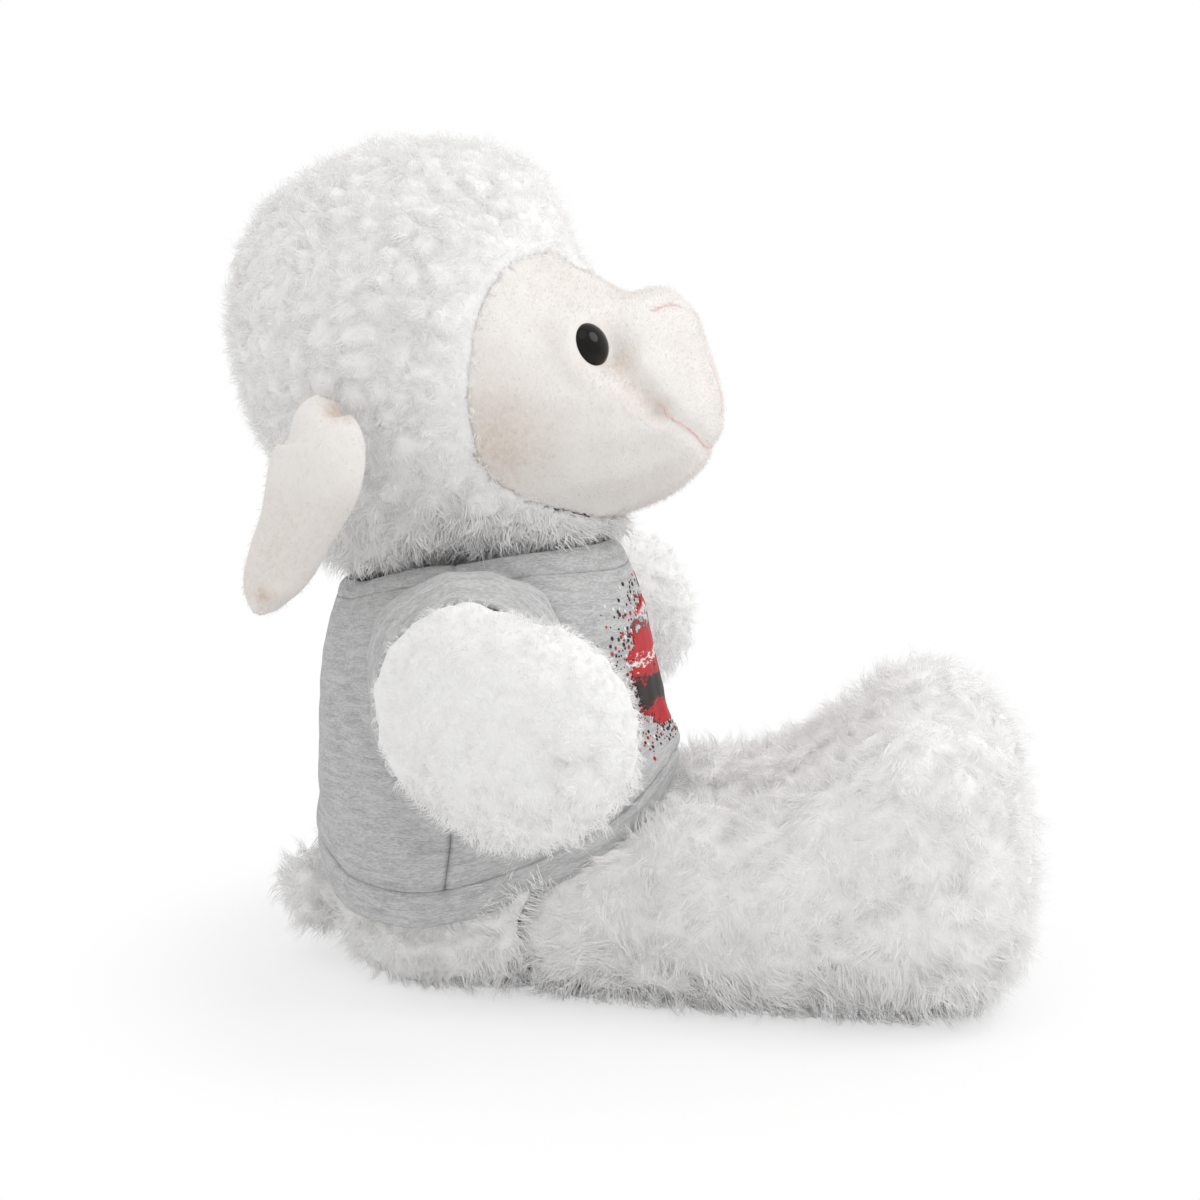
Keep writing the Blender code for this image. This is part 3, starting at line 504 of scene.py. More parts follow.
# %% Tree that grows fleece
def make_fleece_tree():
    """Locks scattered over a mesh by its values fur, length and comb."""
    tree, given = tree_of(
        "grow_fleece",
        (
            ("Locks", "Collection", None),
            ("Spacing", "Float", 2.6 * MM),
            ("Lean", "Float", 0.6),
            ("Ruffle", "Float", 0.5),
            ("Smallest", "Float", 0.75),
            ("Largest", "Float", 1.15),
            ("Seed", "Int", 1),
            ("Finish", "Material", None),
        ),
    )
    seed = given["Seed"]
    scatter = scattered(tree, given, 4.0, "fur")
    leaning = vectors(tree, "SCALE", read_value(tree, "comb", "FLOAT_VECTOR"), Scale=given["Lean"])
    wild = node(
        tree,
        "FunctionNodeRandomValue",
        {0: (-1.0, -1.0, -1.0), 1: (1.0, 1.0, 1.0), "Seed": maths(tree, "ADD", seed, 5.0)},
        data_type="FLOAT_VECTOR",
    )
    ruffled = vectors(tree, "SCALE", wild.outputs[0], Scale=given["Ruffle"])
    aim = vectors(tree, "ADD", vectors(tree, "ADD", scatter.outputs["Normal"], leaning), ruffled)
    upright = node(tree, "FunctionNodeAlignRotationToVector", {"Vector": aim}, axis="Z")
    about = node(
        tree,
        "FunctionNodeAxisAngleToRotation",
        {"Axis": (0, 0, 1), "Angle": chance(tree, 0.0, math.tau, maths(tree, "ADD", seed, 9.0))},
    )
    turned = node(
        tree, "FunctionNodeRotateRotation", {"Rotation": upright, "Rotate By": about}, rotation_space="LOCAL"
    )
    size = chance(tree, given["Smallest"], given["Largest"], maths(tree, "ADD", seed, 2.0))
    scale = maths(tree, "MULTIPLY", size, read_value(tree, "length"))
    which = node(
        tree,
        "FunctionNodeRandomValue",
        {4: 0, 5: len(LOCK_SEEDS) - 1, "Seed": maths(tree, "ADD", seed, 4.0)},
        data_type="INT",
    )
    shelf = node(
        tree,
        "GeometryNodeCollectionInfo",
        {"Collection": given["Locks"], "Separate Children": True, "Reset Children": True},
    )
    placed = node(
        tree,
        "GeometryNodeInstanceOnPoints",
        {
            "Points": scatter.outputs["Points"],
            "Instance": shelf,
            "Pick Instance": True,
            "Instance Index": which.outputs[2],
            "Rotation": turned,
            "Scale": scale,
        },
    )
    return end_tree(tree, given, placed)


FLEECE_TREE = make_fleece_tree()

# %% [markdown]
# ## Finishes
# Each cloth is one Principled shader with its own small variations. Fleece is whiter towards the tips
# of its fibres and slightly grey and warm at the roots, which is painted shade for the valleys between
# its locks; the skin under the fleece is painted a little darker for the same shade. Short pile shows
# soft clouds where it is brushed one way or the other. Patterns read the piece's own place or its own
# values, so that they stay put when the toy is posed.

# %% Finish helpers
def finish(name, values):
    """A new material with those values on its Principled shader, its tree and the shader."""
    made = bpy.data.materials.new(name)
    made.use_nodes = True
    tree = made.node_tree
    shader = tree.nodes["Principled BSDF"]
    for title, value in {"Metallic": 0.0, **values}.items():
        shader.inputs[title].default_value = value
    return made, tree, shader


def colours_along(tree, value, stops):
    """Colours that follow a value, given as stops of a value and a colour."""
    ramp = node(tree, "ShaderNodeValToRGB", {"Fac": value})
    marks = ramp.color_ramp.elements
    for mark, (at, colour) in zip((marks[0], marks[1]), (stops[0], stops[-1])):
        mark.position, mark.color = at, (*colour, 1)
    for at, colour in stops[1:-1]:
        marks.new(at).color = (*colour, 1)
    return ramp


def mottle_group():
    """A group that clouds one colour into another at a given size."""
    group = bpy.data.node_groups.new("mottle", "ShaderNodeTree")
    for title, kind, value in (
        ("Low", "Color", (0.5, 0.5, 0.5, 1)),
        ("High", "Color", (1, 1, 1, 1)),
        ("Cloud Scale", "Float", 100.0),
        ("Contrast", "Float", 1.0),
    ):
        socket = group.interface.new_socket(title, in_out="INPUT", socket_type="NodeSocket" + kind)
        socket.default_value = value
    group.interface.new_socket("Color", in_out="OUTPUT", socket_type="NodeSocketColor")
    given = node(group, "NodeGroupInput").outputs
    where = node(group, "ShaderNodeTexCoord")
    cloud = node(
        group,
        "ShaderNodeTexNoise",
        {"Vector": where.outputs["Object"], "Scale": given["Cloud Scale"], "Detail": 3.0},
    )
    spread = maths(group, "SUBTRACT", cloud.outputs["Fac"], 0.5)
    share = node(
        group,
        "ShaderNodeMath",
        {0: spread, 1: given["Contrast"], 2: 0.5},
        operation="MULTIPLY_ADD",
        use_clamp=True,
    )
    mixed = node(group, "ShaderNodeMix", {0: share, 6: given["Low"], 7: given["High"]}, data_type="RGBA")
    node(group, "NodeGroupOutput", {"Color": mixed.outputs[2]})
    return group


MOTTLE = mottle_group()


def mottled(tree, low, high, scale, contrast=1.0):
    """A clouded colour in a material."""
    values = {"Low": (*low, 1), "High": (*high, 1), "Cloud Scale": scale, "Contrast": contrast}
    return node(tree, "ShaderNodeGroup", values, node_tree=MOTTLE)


# %% Fleece finishes
FLEECE_LOOK = {"Roughness": 1.0, "Specular IOR Level": 0.1, "Sheen Weight": 0.25, "Sheen Roughness": 0.6}
SOFT_INSIDE = {"Subsurface Weight": 0.5, "Subsurface Radius": (1, 1, 1), "Subsurface Scale": 1.5 * MM}

fleece, tree, shader = finish("white_fleece", FLEECE_LOOK)
tips = mottled(tree, (0.955, 0.95, 0.95), (0.985, 0.983, 0.985), 160.0, 1.4)
# painted shade: roots lie in the valleys between locks, so they are painted greyer and warmer
roots = mottled(tree, (0.92, 0.905, 0.895), (0.955, 0.95, 0.945), 160.0, 1.4)
along = node(tree, "ShaderNodeAttribute", attribute_name="tip")
shade = node(tree, "ShaderNodeMix", {0: along.outputs["Fac"], 6: roots, 7: tips}, data_type="RGBA")
tree.links.new(shade.outputs[2], shader.inputs["Base Color"])

curls, tree, shader = finish("fleece_ground", {**FLEECE_LOOK, **SOFT_INSIDE})
# painted shade: the skin under the fleece is painted a little darker than the tips, as valley shade
ground_painted_shade = mottled(tree, (0.90, 0.885, 0.875), (0.96, 0.955, 0.95), 130.0, 1.6)
tree.links.new(ground_painted_shade.outputs[0], shader.inputs["Base Color"])
where = node(tree, "ShaderNodeTexCoord")
wisps = node(
    tree,
    "ShaderNodeTexNoise",
    {"Vector": where.outputs["Object"], "Scale": 480.0, "Detail": 3.0, "Distortion": 1.2},
)
rough = node(tree, "ShaderNodeBump", {"Strength": 0.7, "Distance": 1.0 * MM, "Height": wisps.outputs["Fac"]})
tree.links.new(rough.outputs[0], shader.inputs["Normal"])
print("finishes", fleece.name, curls.name)

# %% [markdown]
# ## Grooming
# Before fleece grows, each form is groomed: a function says how dense and long it is at each point, and
# a flow says where it lies down. Slow noise bends the flow a little, so that neighbouring locks lean
# alike and form the soft clumps that show on worn plush.

# %% Grooming
def at(rule, place):
    """What a rule says at a place. A rule is a plain value or a function of the place."""
    return rule(place) if callable(rule) else rule


def lean_of(heart):
    """The lean that belongs to the cell with this heart."""
    return noise.cell_vector(heart * 57.0) * 2.0 - Vector((1, 1, 1))


def groom(obj, flow, dense, long, cell, puff, swirl):
    """Raises the form in soft clumps, one to a cell, and stores fur, length and comb on its points.

    Every cell has its own lean, so that its locks lie one way, and flow is added to that. flow, dense,
    long and puff are rules.
    """
    mesh = obj.data
    fur, length, comb, raised = [], [], [], []
    for vertex in mesh.vertices:
        place, normal = vertex.co.copy(), vertex.normal.copy()
        wavy = place + noise.noise_vector(place / (2.2 * cell)) * (0.35 * cell)
        far, hearts = noise.voronoi(wavy / cell)
        own, next_one = lean_of(hearts[0]), lean_of(hearts[1])
        inner = smooth_step(0.0, 0.5, far[1] - far[0])
        lean = Vector(at(flow, place)) + own.lerp((own + next_one) / 2, 1.0 - inner) * swirl
        lean -= normal * lean.dot(normal)
        comb.append(lean)
        fur.append(at(dense, place))
        length.append(at(long, place))
        raised.append(place + normal * (at(puff, place) * fur[-1] * (inner - 0.35)))
    for vertex, place in zip(mesh.vertices, raised):
        vertex.co = place
    mesh.update()
    store(obj, "fur", fur)
    store(obj, "length", length)
    stored = mesh.attributes.new("comb", "FLOAT_VECTOR", "POINT")
    stored.data.foreach_set("vector", [value for lean in comb for value in lean])


def store(obj, title, values):
    """Keeps one number for each point of a mesh under a name."""
    obj.data.attributes.new(title, "FLOAT", "POINT").data.foreach_set("value", values)


def bounded(value, low=0.0, high=1.0):
    """A value held between two ends."""
    return max(low, min(high, value))


def smooth_step(low, high, value):
    """From 0 to 1 with soft ends as value goes from low to high, which may also lie below low."""
    share = bounded((value - low) / (high - low))
    return share * share * (3 - 2 * share)


FLOOR_LIFT, FLOOR_PRESS = 0.6 * MM, 0.02


def rest_on_floor(obj):
    """Presses what would reach under the ground flat onto it."""
    for vertex in obj.data.vertices:
        if vertex.co.z < FLOOR_LIFT:
            vertex.co.z = FLOOR_LIFT + (vertex.co.z - FLOOR_LIFT) * FLOOR_PRESS


def dress(piece, body=None, stands_for=(), material=None):
    if material:
        piece.data.materials.append(material)
    if body:
        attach(piece, body)
    if stands_for:
        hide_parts(*stands_for)


def grow(name, body, base, locks, parts=1, slot="white_fleece", **values):
    """Fleece on a form, in parts that ride on its body. The parts are sectors round the form's middle."""
    corners = np.empty(len(base.data.vertices) * 3)
    base.data.vertices.foreach_get("co", corners)
    corners = corners.reshape(-1, 3)
    middle = (corners.min(0) + corners.max(0)) / 2
    turn = np.arctan2(corners[:, 2] - middle[2], corners[:, 0] - middle[0]) / math.tau + 0.5
    sector = np.minimum((turn * parts).astype(int), parts - 1)
    whole = np.empty(len(corners), np.float32)
    base.data.attributes["fur"].data.foreach_get("value", whole)
    for part in range(parts):
        mesh = base.data.copy()
        share = np.where(sector == part, whole, 0.0).astype(np.float32)
        mesh.attributes["fur"].data.foreach_set("value", share)
        title = name if parts == 1 else f"{name}_{part + 1}"
        piece = run_tree(title, FLEECE_TREE, {"Finish": fleece, **values, "Locks": locks, "Seed": part}, mesh)
        rest_on_floor(piece)
        dress(piece, body)
        print(title, triangles(piece), "triangles")


# %% [markdown]
# ## The head
# The toy's head is two skins sewn together: curly fleece behind the ears and a cream face in front. The
# seam is set by its distance along the head at each angle round the muzzle's axis. The points of the
# form nearest to the seam are moved onto it, so that the cut has a clean edge.

# %% Seam between wool and face
SEAM_MIDDLE = 140 * MM
# the seam, as degrees round the muzzle and millimetres along the head
SEAM_PLACES = (
    (-90, -2.0), (-70, -5.5), (-59, -8.0), (-50, -13.7), (-42, -18.7), (-33, -23.6), (-28, -27.1),
    (-20, -29.5), (-7, -31.1), (0, -31.4), (8, -31.0), (17, -30.4), (26, -29.2), (33, -27.5),
    (41, -24.7), (59, -17.5), (71, -14.0), (80, -10.5), (90, -9.0),
)


def before_seam(place):
    """How far a place lies in front of the seam, in metres along the head."""
    angle = math.degrees(math.atan2(place.z - SEAM_MIDDLE, abs(place.y)))
    return place.x - np.interp(angle, *zip(*SEAM_PLACES)) * MM


for vertex in head_form.data.vertices:
    off = before_seam(vertex.co)
    if abs(off) < 0.55 * HEAD_CUBE:
        vertex.co.x -= off
print("seam runs from", SEAM_PLACES[0][1], "mm under the chin to", SEAM_PLACES[-1][1], "mm on the forehead")

# %% [markdown]
# The face is shaped by small moves of its points: the thread that holds the eye pulls a dimple, the
# nose is a pinched bump, and stitches draw creases along the nostril and the mouth. Each move fades
# with the distance from a path on the skin, and the far side mirrors the near one.

# %% Face moves
NOSTRIL_PATH = (
    (6.7, 13.5, 157.9), (8.0, 10.7, 158.6), (9.4, 7.2, 158.8), (11.2, 4.7, 158.5), (13.2, 3.4, 157.5),
)
MOUTH_PATH = (
    (9.4, 26.2, 135.6), (13.2, 23.1, 132.9), (16.7, 17.6, 129.6), (18.9, 9.2, 125.7), (19.2, 0.0, 124.4),
)
NOSE_PATH = ((20.0, 0.0, 147.5), (20.9, 0.0, 140.0), (20.9, 0.0, 133.0))
MUZZLE_PATH = (
    (-1.5, 0.0, 163.0), (-1.0, 14.0, 162.5), (-0.5, 22.0, 160.0), (0.0, 27.5, 154.5), (1.0, 30.0, 148.0),
    (3.4, 30.0, 142.5), (9.4, 26.2, 135.6),
)
EYE_SPOT = Vector((-5.6 * MM, 29.4 * MM, 150.6 * MM))
EYE_AIM = Vector((0.75, 0.57, 0.34)).normalized()
EYE_SINK = 2.1 * MM


def mirrored(place):
    """The same place on the positive side."""
    return Vector((place.x, abs(place.y), place.z))


def path_distance(place, path):
    """How far a place is from a path of points in millimetres."""
    best = math.inf
    for a, b in zip(path, path[1:]):
        start, end = Vector(a) * MM, Vector(b) * MM
        run = end - start
        share = bounded((place - start).dot(run) / run.length_squared)
        best = min(best, (place - start - run * share).length)
    return best


def fade(distance, reach):
    """1 at no distance, falling softly to 0 at reach."""
    return 1.0 - smooth_step(0.0, reach, distance)


def around(place, spot, reach):
    """1 at a spot given in millimetres and at its mirror image, falling softly to 0 at reach."""
    return fade((mirrored(place) - Vector(spot) * MM).length, reach)


def face_move(place):
    """How far a point of the face moves along its normal."""
    near = mirrored(place)
    to_eye = (near - EYE_SPOT).length
    move = 0.5 * MM * fade(abs(to_eye - 8.0 * MM), 3.5 * MM)
    move -= 1.7 * MM * fade(path_distance(near, MUZZLE_PATH), 5.0 * MM)
    move += 1.6 * MM * around(place, (7.5, 0, 162), 7.5 * MM)
    move += 1.0 * MM * around(place, (-2, 33, 136), 13 * MM)
    move += 1.2 * MM * around(place, (13, 9, 150), 12 * MM)
    move -= 1.3 * MM * fade(path_distance(near, NOSTRIL_PATH), 3.0 * MM)
    move -= 0.9 * MM * fade(path_distance(near, MOUTH_PATH), 3.4 * MM)
    move -= 0.6 * MM * fade(path_distance(near, NOSE_PATH), 2.4 * MM)
    move -= 2.7 * MM * fade(abs(place.z - 149 * MM), 14 * MM) * smooth_step(8 * MM, 19 * MM, place.x)
    return move + 0.35 * MM * noise.noise(place / (11 * MM))


def tilt_to_eye(place):
    """Turns the skin near an eye to face as the eye does: lower in front of it, fuller behind it."""
    near = mirrored(place)
    off = near - EYE_SPOT
    held = 1.0 - smooth_step(4.5 * MM, 12.5 * MM, off.length)
    near -= EYE_AIM * (off.dot(EYE_AIM) * held)
    return Vector((near.x, math.copysign(near.y, place.y), near.z))


def cut_out(source, keep):
    """The part of an object's mesh where keep is true, without loose bits, left open for edits."""
    shell = shell_of(source)
    gone = [face for face in shell.faces if not keep(face.calc_center_median())]
    bmesh.ops.delete(shell, geom=gone, context="FACES")
    keep_largest(shell)
    return shell


def thicken(piece, wall):
    """Gives a cloth its thickness, inwards."""
    cloth = piece.modifiers.new("cloth", "SOLIDIFY")
    cloth.thickness, cloth.offset = wall, -1.0
    return baked(piece)


face = object_of(cut_out(head_form, lambda place: before_seam(place) > 0), "face")
places = [(v.co.copy(), v.normal.copy()) for v in face.data.vertices]
for vertex, (place, normal) in zip(face.data.vertices, places):
    vertex.co = place + normal * face_move(place)
face.data.update()
for vertex in face.data.vertices:
    vertex.co = tilt_to_eye(vertex.co)
face.data.update()
face_tree = BVHTree.FromPolygons(
    [vertex.co for vertex in face.data.vertices], [polygon.vertices[:] for polygon in face.data.polygons]
)
print("face", len(face.data.polygons), "faces")

# %% Wool of the head
NECK_CENTRE = Vector((-41.2 * MM, 0, 95.5 * MM))
NECK_CLEAR = 15.5 * MM
EAR_SEAT = (-68.5, 47.0, 134.0)


def head_fur(place):
    """Full fleece behind the seam, none in the neck's socket."""
    return float((place - NECK_CENTRE).length > NECK_CLEAR)


def head_puff(place):
    """Clumps stand less high along the seam."""
    return 1.5 * MM * smooth_step(0.0, 7 * MM, -before_seam(place))


def under_chin(place):
    """How far a place is in the throat, just behind the seam."""
    return smooth_step(128 * MM, 119 * MM, place.z) * smooth_step(-20 * MM, -9 * MM, place.x)


def head_length(place):
    """Shorter along the seam and where the ear presses on it, longer in the throat and over the collar."""
    low = smooth_step(122 * MM, 108 * MM, place.z) * smooth_step(-8 * MM, -20 * MM, place.x)
    edge = smooth_step(-12 * MM, 0.0, before_seam(place))
    throat = under_chin(place)
    pressed = around(place, EAR_SEAT, 14 * MM)
    return (1.0 - 0.25 * edge * (1 - throat) + 0.45 * low + 0.5 * throat) * (1 - 0.6 * pressed)


def head_flow(place):
    """Wool falls backwards and down a little, hangs over the collar, and leans over the seam."""
    low = smooth_step(122 * MM, 108 * MM, place.z)
    throat = under_chin(place)
    edge = smooth_step((-4 - 6 * throat) * MM, 0.0, before_seam(place))
    return (-0.2 + (0.9 + 0.5 * throat) * edge, 0.0, -0.35 - 0.9 * low)


TUCK_IN = 0.9 * MM
wool = object_of(cut_out(head_form, lambda place: before_seam(place) < TUCK_IN), "head_skin_wool")
for vertex, normal in [(v, v.normal.copy()) for v in wool.data.vertices]:
    aside = vertex.co - NECK_CENTRE
    aside.z = 0
    low = smooth_step(122 * MM, 107 * MM, vertex.co.z) * smooth_step(17 * MM, 25 * MM, aside.length)
    vertex.co.z -= (2.2 + 5.6 * smooth_step(-36 * MM, -56 * MM, vertex.co.x)) * MM * low
    inside = 0.3 * MM * smooth_step(-0.6 * MM, 0.3 * MM, before_seam(vertex.co))
    vertex.co -= normal * inside
wool.data.update()
groom(wool, head_flow, head_fur, head_length, 6.5 * MM, head_puff, 1.0)
grow("head_wool", "head", wool, short_locks, 4, Spacing=2.12 * MM, Lean=0.9, Ruffle=0.45)
thicken(wool, 2.0 * MM)
dress(wool, "head", ("head_fleece", "head_filling"), curls)

# %% [markdown]
# ## Short pile
# The face and the ears are a short brushed plush. Its pile is about a millimetre long, so each lock
# here is only three short fibres, and the material adds the soft sheen and the brushed clouds.

# %% Cream plush and its pile
PLUSH_LOOK = {"Roughness": 1.0, "Specular IOR Level": 0.1, "Sheen Weight": 0.2, "Sheen Roughness": 0.5}

cream, tree, shader = finish("cream_plush", PLUSH_LOOK)
brushed = mottled(tree, (0.83, 0.79, 0.76), (0.885, 0.86, 0.835), 90.0, 1.8)
# painted shade: tan mixed in by the stored painted shade, in the hollows of the face and ears
tan = mottled(tree, (0.60, 0.50, 0.42), (0.78, 0.70, 0.63), 700.0, 2.4)
painted_shade = node(tree, "ShaderNodeAttribute", attribute_name="painted_shade")
toned = node(tree, "ShaderNodeMix", {0: painted_shade.outputs["Fac"], 6: brushed, 7: tan}, data_type="RGBA")
tree.links.new(toned.outputs[2], shader.inputs["Base Color"])
where = node(tree, "ShaderNodeTexCoord")
strokes = node(tree, "ShaderNodeMapping", {"Vector": where.outputs["Object"], "Scale": (900.0, 900.0, 420.0)})
nap = node(tree, "ShaderNodeTexNoise", {"Vector": strokes, "Scale": 1.0, "Detail": 2.0, "Distortion": 0.8})
rough = node(tree, "ShaderNodeBump", {"Strength": 0.4, "Distance": 0.5 * MM, "Height": nap.outputs["Fac"]})
tree.links.new(rough.outputs[0], shader.inputs["Normal"])

pile_locks = make_locks(
    "pile_locks",
    Fibres=4, Steps=1, Length=1.4 * MM, Spread=0.6 * MM, Thickness=0.05 * MM,
    Gather=0.2, Bend=0.4, Stray=0.4,
)


def face_painted_shade(place):
    """Painted shade in tan: low on the cheek, in the dimple before the eye and in the muzzle's groove."""
    cheek = around(place, (-28, 36, 130), 21 * MM)
    dimple = 0.9 * around(place, (0.5, 29.5, 149.0), 7 * MM)
    groove = 0.5 * fade(path_distance(mirrored(place), MUZZLE_PATH[2:]), 5 * MM)
    return bounded(0.7 * cheek + dimple + groove)


def face_fur(place):
    """Pile all over the face, except under the eyes."""
    return float((mirrored(place) - EYE_SPOT).length > 6.3 * MM)


BACK_FROM_THE_NOSE = (-0.5, 0.0, -0.35)
# painted shade of the face, which the cream finish mixes in as tan
store(face, "painted_shade", [face_painted_shade(vertex.co) for vertex in face.data.vertices])
groom(face, BACK_FROM_THE_NOSE, face_fur, 1.0, 16 * MM, 0.0, 0.35)
grow(
    "face_pile", "head", face, pile_locks, slot="cream_plush",
    Spacing=0.85 * MM, Lean=0.7, Ruffle=0.5, Finish=cream,
)
thicken(face, 1.3 * MM)
dress(face, "head", ("face_panel",), cream)

# %% [markdown]
# ## Eyes
# The eyes are glossy plastic domes whose stems lock behind the cloth. An outline is turned round the
# eye's axis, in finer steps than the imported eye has, so that the highlight on the dome is clean. It
# looks out, forwards and up.

# %% Eyes
eye_gloss, tree, shader = finish("eye_black", {"Roughness": 0.12, "Specular IOR Level": 0.17})
depth = mottled(tree, (0.004, 0.004, 0.004), (0.016, 0.012, 0.010), 260.0, 1.0)
tree.links.new(depth.outputs[0], shader.inputs["Base Color"])

EYE_RADIUS, EYE_DOME, EYE_RIM = 5.3 * MM, 3.6 * MM, 0.8 * MM
EYE_STEPS, EYE_TURNS = 16, 64
EYE_STEM = ((0.0, -6.5), (1.6, -6.5), (1.6, 0.0), (4.9, 0.0), (5.3, 0.3), (5.3, 0.8))


def eye_outline():
    """The outline of half an eye as radius and height, from the end of its stem to the top of its dome."""
    outline = [(radius * MM, height * MM) for radius, height in EYE_STEM]
    for step in reversed(range(EYE_STEPS)):
        turn = math.pi / 2 * step / EYE_STEPS
        outline.append((EYE_RADIUS * math.sin(turn), EYE_RIM + EYE_DOME * math.cos(turn)))
    return outline


for side, sign in SIDES:
    axis = Vector((EYE_AIM.x, sign * EYE_AIM.y, EYE_AIM.z))
    centre = Vector((EYE_SPOT.x, sign * EYE_SPOT.y, EYE_SPOT.z)) - axis * EYE_SINK
    dome = bmesh.new()
    line = [dome.verts.new((radius, 0, height)) for radius, height in eye_outline()]
    edges = [dome.edges.new(pair) for pair in zip(line, line[1:])]
    bmesh.ops.spin(dome, geom=line + edges, axis=(0, 0, 1), cent=(0, 0, 0), steps=EYE_TURNS, angle=math.tau)
    bmesh.ops.remove_doubles(dome, verts=dome.verts, dist=0.005 * MM)
    bmesh.ops.recalc_face_normals(dome, faces=dome.faces)
    turned = axis.to_track_quat("Z", "Y").to_matrix().to_4x4()
    bmesh.ops.transform(dome, matrix=Matrix.Translation(centre) @ turned, verts=dome.verts)
    eye = object_of(dome, f"eye_dome_{side}")
    dress(eye, "head", (f"eye_{side}",), eye_gloss)
    print("eye", side, [round(v / MM, 1) for v in centre], [round(v, 2) for v in axis])

# %% [markdown]
# ## Pink stitches
# The nostrils, the line down the nose and the mouth are stitched in pink thread. A tree turns a path
# into a row of short stitches: it samples the path evenly, puts a small capsule at each sample and
# turns it along the path.

# %% Tree of stitches
def make_stitch_tree():
    """Short slanted stitches along the edges of a path."""
    tree, given = tree_of(
        "thread_line",
        (
            ("Stitch", "Float", 1.5 * MM),
            ("Thread", "Float", 0.26 * MM),
            ("Slant", "Float", 0.45),
            ("Seed", "Int", 1),
            ("Finish", "Material", None),
        ),
    )
    path = node(tree, "GeometryNodeMeshToCurve", {"Mesh": given["Geometry"]})
    step = maths(tree, "MULTIPLY", given["Stitch"], 0.72)
    dots = node(tree, "GeometryNodeCurveToPoints", {"Curve": path, "Length": step}, mode="LENGTH")
    thread = node(
        tree,
        "GeometryNodeMeshUVSphere",
        {"Segments": 8, "Rings": 6, "Radius": maths(tree, "MULTIPLY", given["Stitch"], 0.5)},
    )
    rounded = node(tree, "GeometryNodeSetShadeSmooth", {"Geometry": thread.outputs["Mesh"]})
    thin = maths(tree, "DIVIDE", maths(tree, "MULTIPLY", given["Thread"], 2.0), given["Stitch"])
    size = node(tree, "ShaderNodeCombineXYZ", {"X": thin, "Y": thin, "Z": 1.0})
    slant = chance(tree, maths(tree, "MULTIPLY", given["Slant"], -1.0), given["Slant"], given["Seed"])
    leaning = vectors(tree, "SCALE", dots.outputs["Normal"], Scale=slant)
    aim = vectors(tree, "ADD", dots.outputs["Tangent"], leaning)
    along = node(tree, "FunctionNodeAlignRotationToVector", {"Vector": aim}, axis="Z")
    placed = node(
        tree,
        "GeometryNodeInstanceOnPoints",
        {"Points": dots.outputs["Points"], "Instance": rounded, "Rotation": along, "Scale": size},
    )
    return end_tree(tree, given, placed)


STITCH_TREE = make_stitch_tree()
pink, tree, shader = finish("pink_thread", {"Roughness": 0.75, "Sheen Weight": 0.3})
strand = mottled(tree, (0.84, 0.52, 0.49), (0.93, 0.70, 0.67), 700.0, 2.0)
tree.links.new(strand.outputs[0], shader.inputs["Base Color"])


def smooth_path(points, count):
    """Even points on a smooth curve through a few points in millimetres."""
    rows = np.array(points)
    return [Vector(along_rows(rows, v)) * MM for v in np.linspace(0, len(rows) - 1, count)]


def along_rows(rows, v):
    """A row between the rows of a table, on a smooth curve through them."""
    last = len(rows) - 1
    low = min(int(v), last - 1)
    s = v - low
    a, b, c, d = (rows[min(max(low + k, 0), last)] for k in (-1, 0, 1, 2))
    return 0.5 * (2 * b + (c - a) * s + (2 * a - 5 * b + 4 * c - d) * s**2 + (3 * b - a - 3 * c + d) * s**3)


def on_face(place, lift):
    """A place set on the face, a little above it."""
    spot, normal, _, _ = face_tree.find_nearest(place)
    return spot + normal * lift


def sew(name, paths, node_name):
    """Stitches along paths on the face."""
    mesh = bpy.data.meshes.new(name)
    points, edges = [], []
    for path in paths:
        start = len(points)
        points += [on_face(place, 0.12 * MM) for place in path]
        edges += [(k, k + 1) for k in range(start, len(points) - 1)]
    mesh.from_pydata(points, edges, [])
    piece = run_tree(name, STITCH_TREE, {"Finish": pink, "Seed": 5}, mesh)
    dress(piece, "head", (node_name,))


def flipped(points):
    """The same points on the other side."""
    return [(x, -y, z) for x, y, z in points]


nostrils = [smooth_path(path, 30) for path in (NOSTRIL_PATH, flipped(NOSTRIL_PATH))]
whole_mouth = [*flipped(MOUTH_PATH), *reversed(MOUTH_PATH[:-1])]
sew("nostril_thread", nostrils, "nostril_stitch")
sew("nose_line_thread", [smooth_path(NOSE_PATH, 20)], "nose_line_stitch")
sew("mouth_thread", [smooth_path(whole_mouth, 80)], "mouth_stitch")

# %% [markdown]
# ## Ears
# Each ear is a long leaf of two plies sewn back to back, turned out and lightly filled. It is folded
# where it is sewn to the head, which makes it cup, and its tip turns back. A table gives its middle
# line and its width.

# %% Ears
EAR_ROOT = Vector((-61.2 * MM, 46.2 * MM, 139.5 * MM))
EAR_ROWS = np.array(
    # back, down, out, half width, cup, half thickness
    (
        (0.6, 0.0, 0.0, 2.4, 2.0, 1.4),
        (1.8, 3.5, 4.8, 5.6, 3.2, 1.7),
        (0.6, 9.5, 8.6, 9.2, 3.4, 1.9),
        (2.8, 17.5, 8.4, 10.2, 2.6, 2.0),
        (6.9, 27.5, 6.4, 8.4, 2.2, 2.0),
        (10.6, 35.0, 4.8, 7.6, 2.2, 1.9),
        (13.7, 40.5, 4.2, 6.2, 1.8, 1.8),
        (15.5, 44.8, 3.8, 3.8, 1.0, 1.5),
        (16.6, 47.2, 3.6, 0.8, 0.0, 0.4),
    )
)
EAR_ACROSS, EAR_ALONG = 36, 60


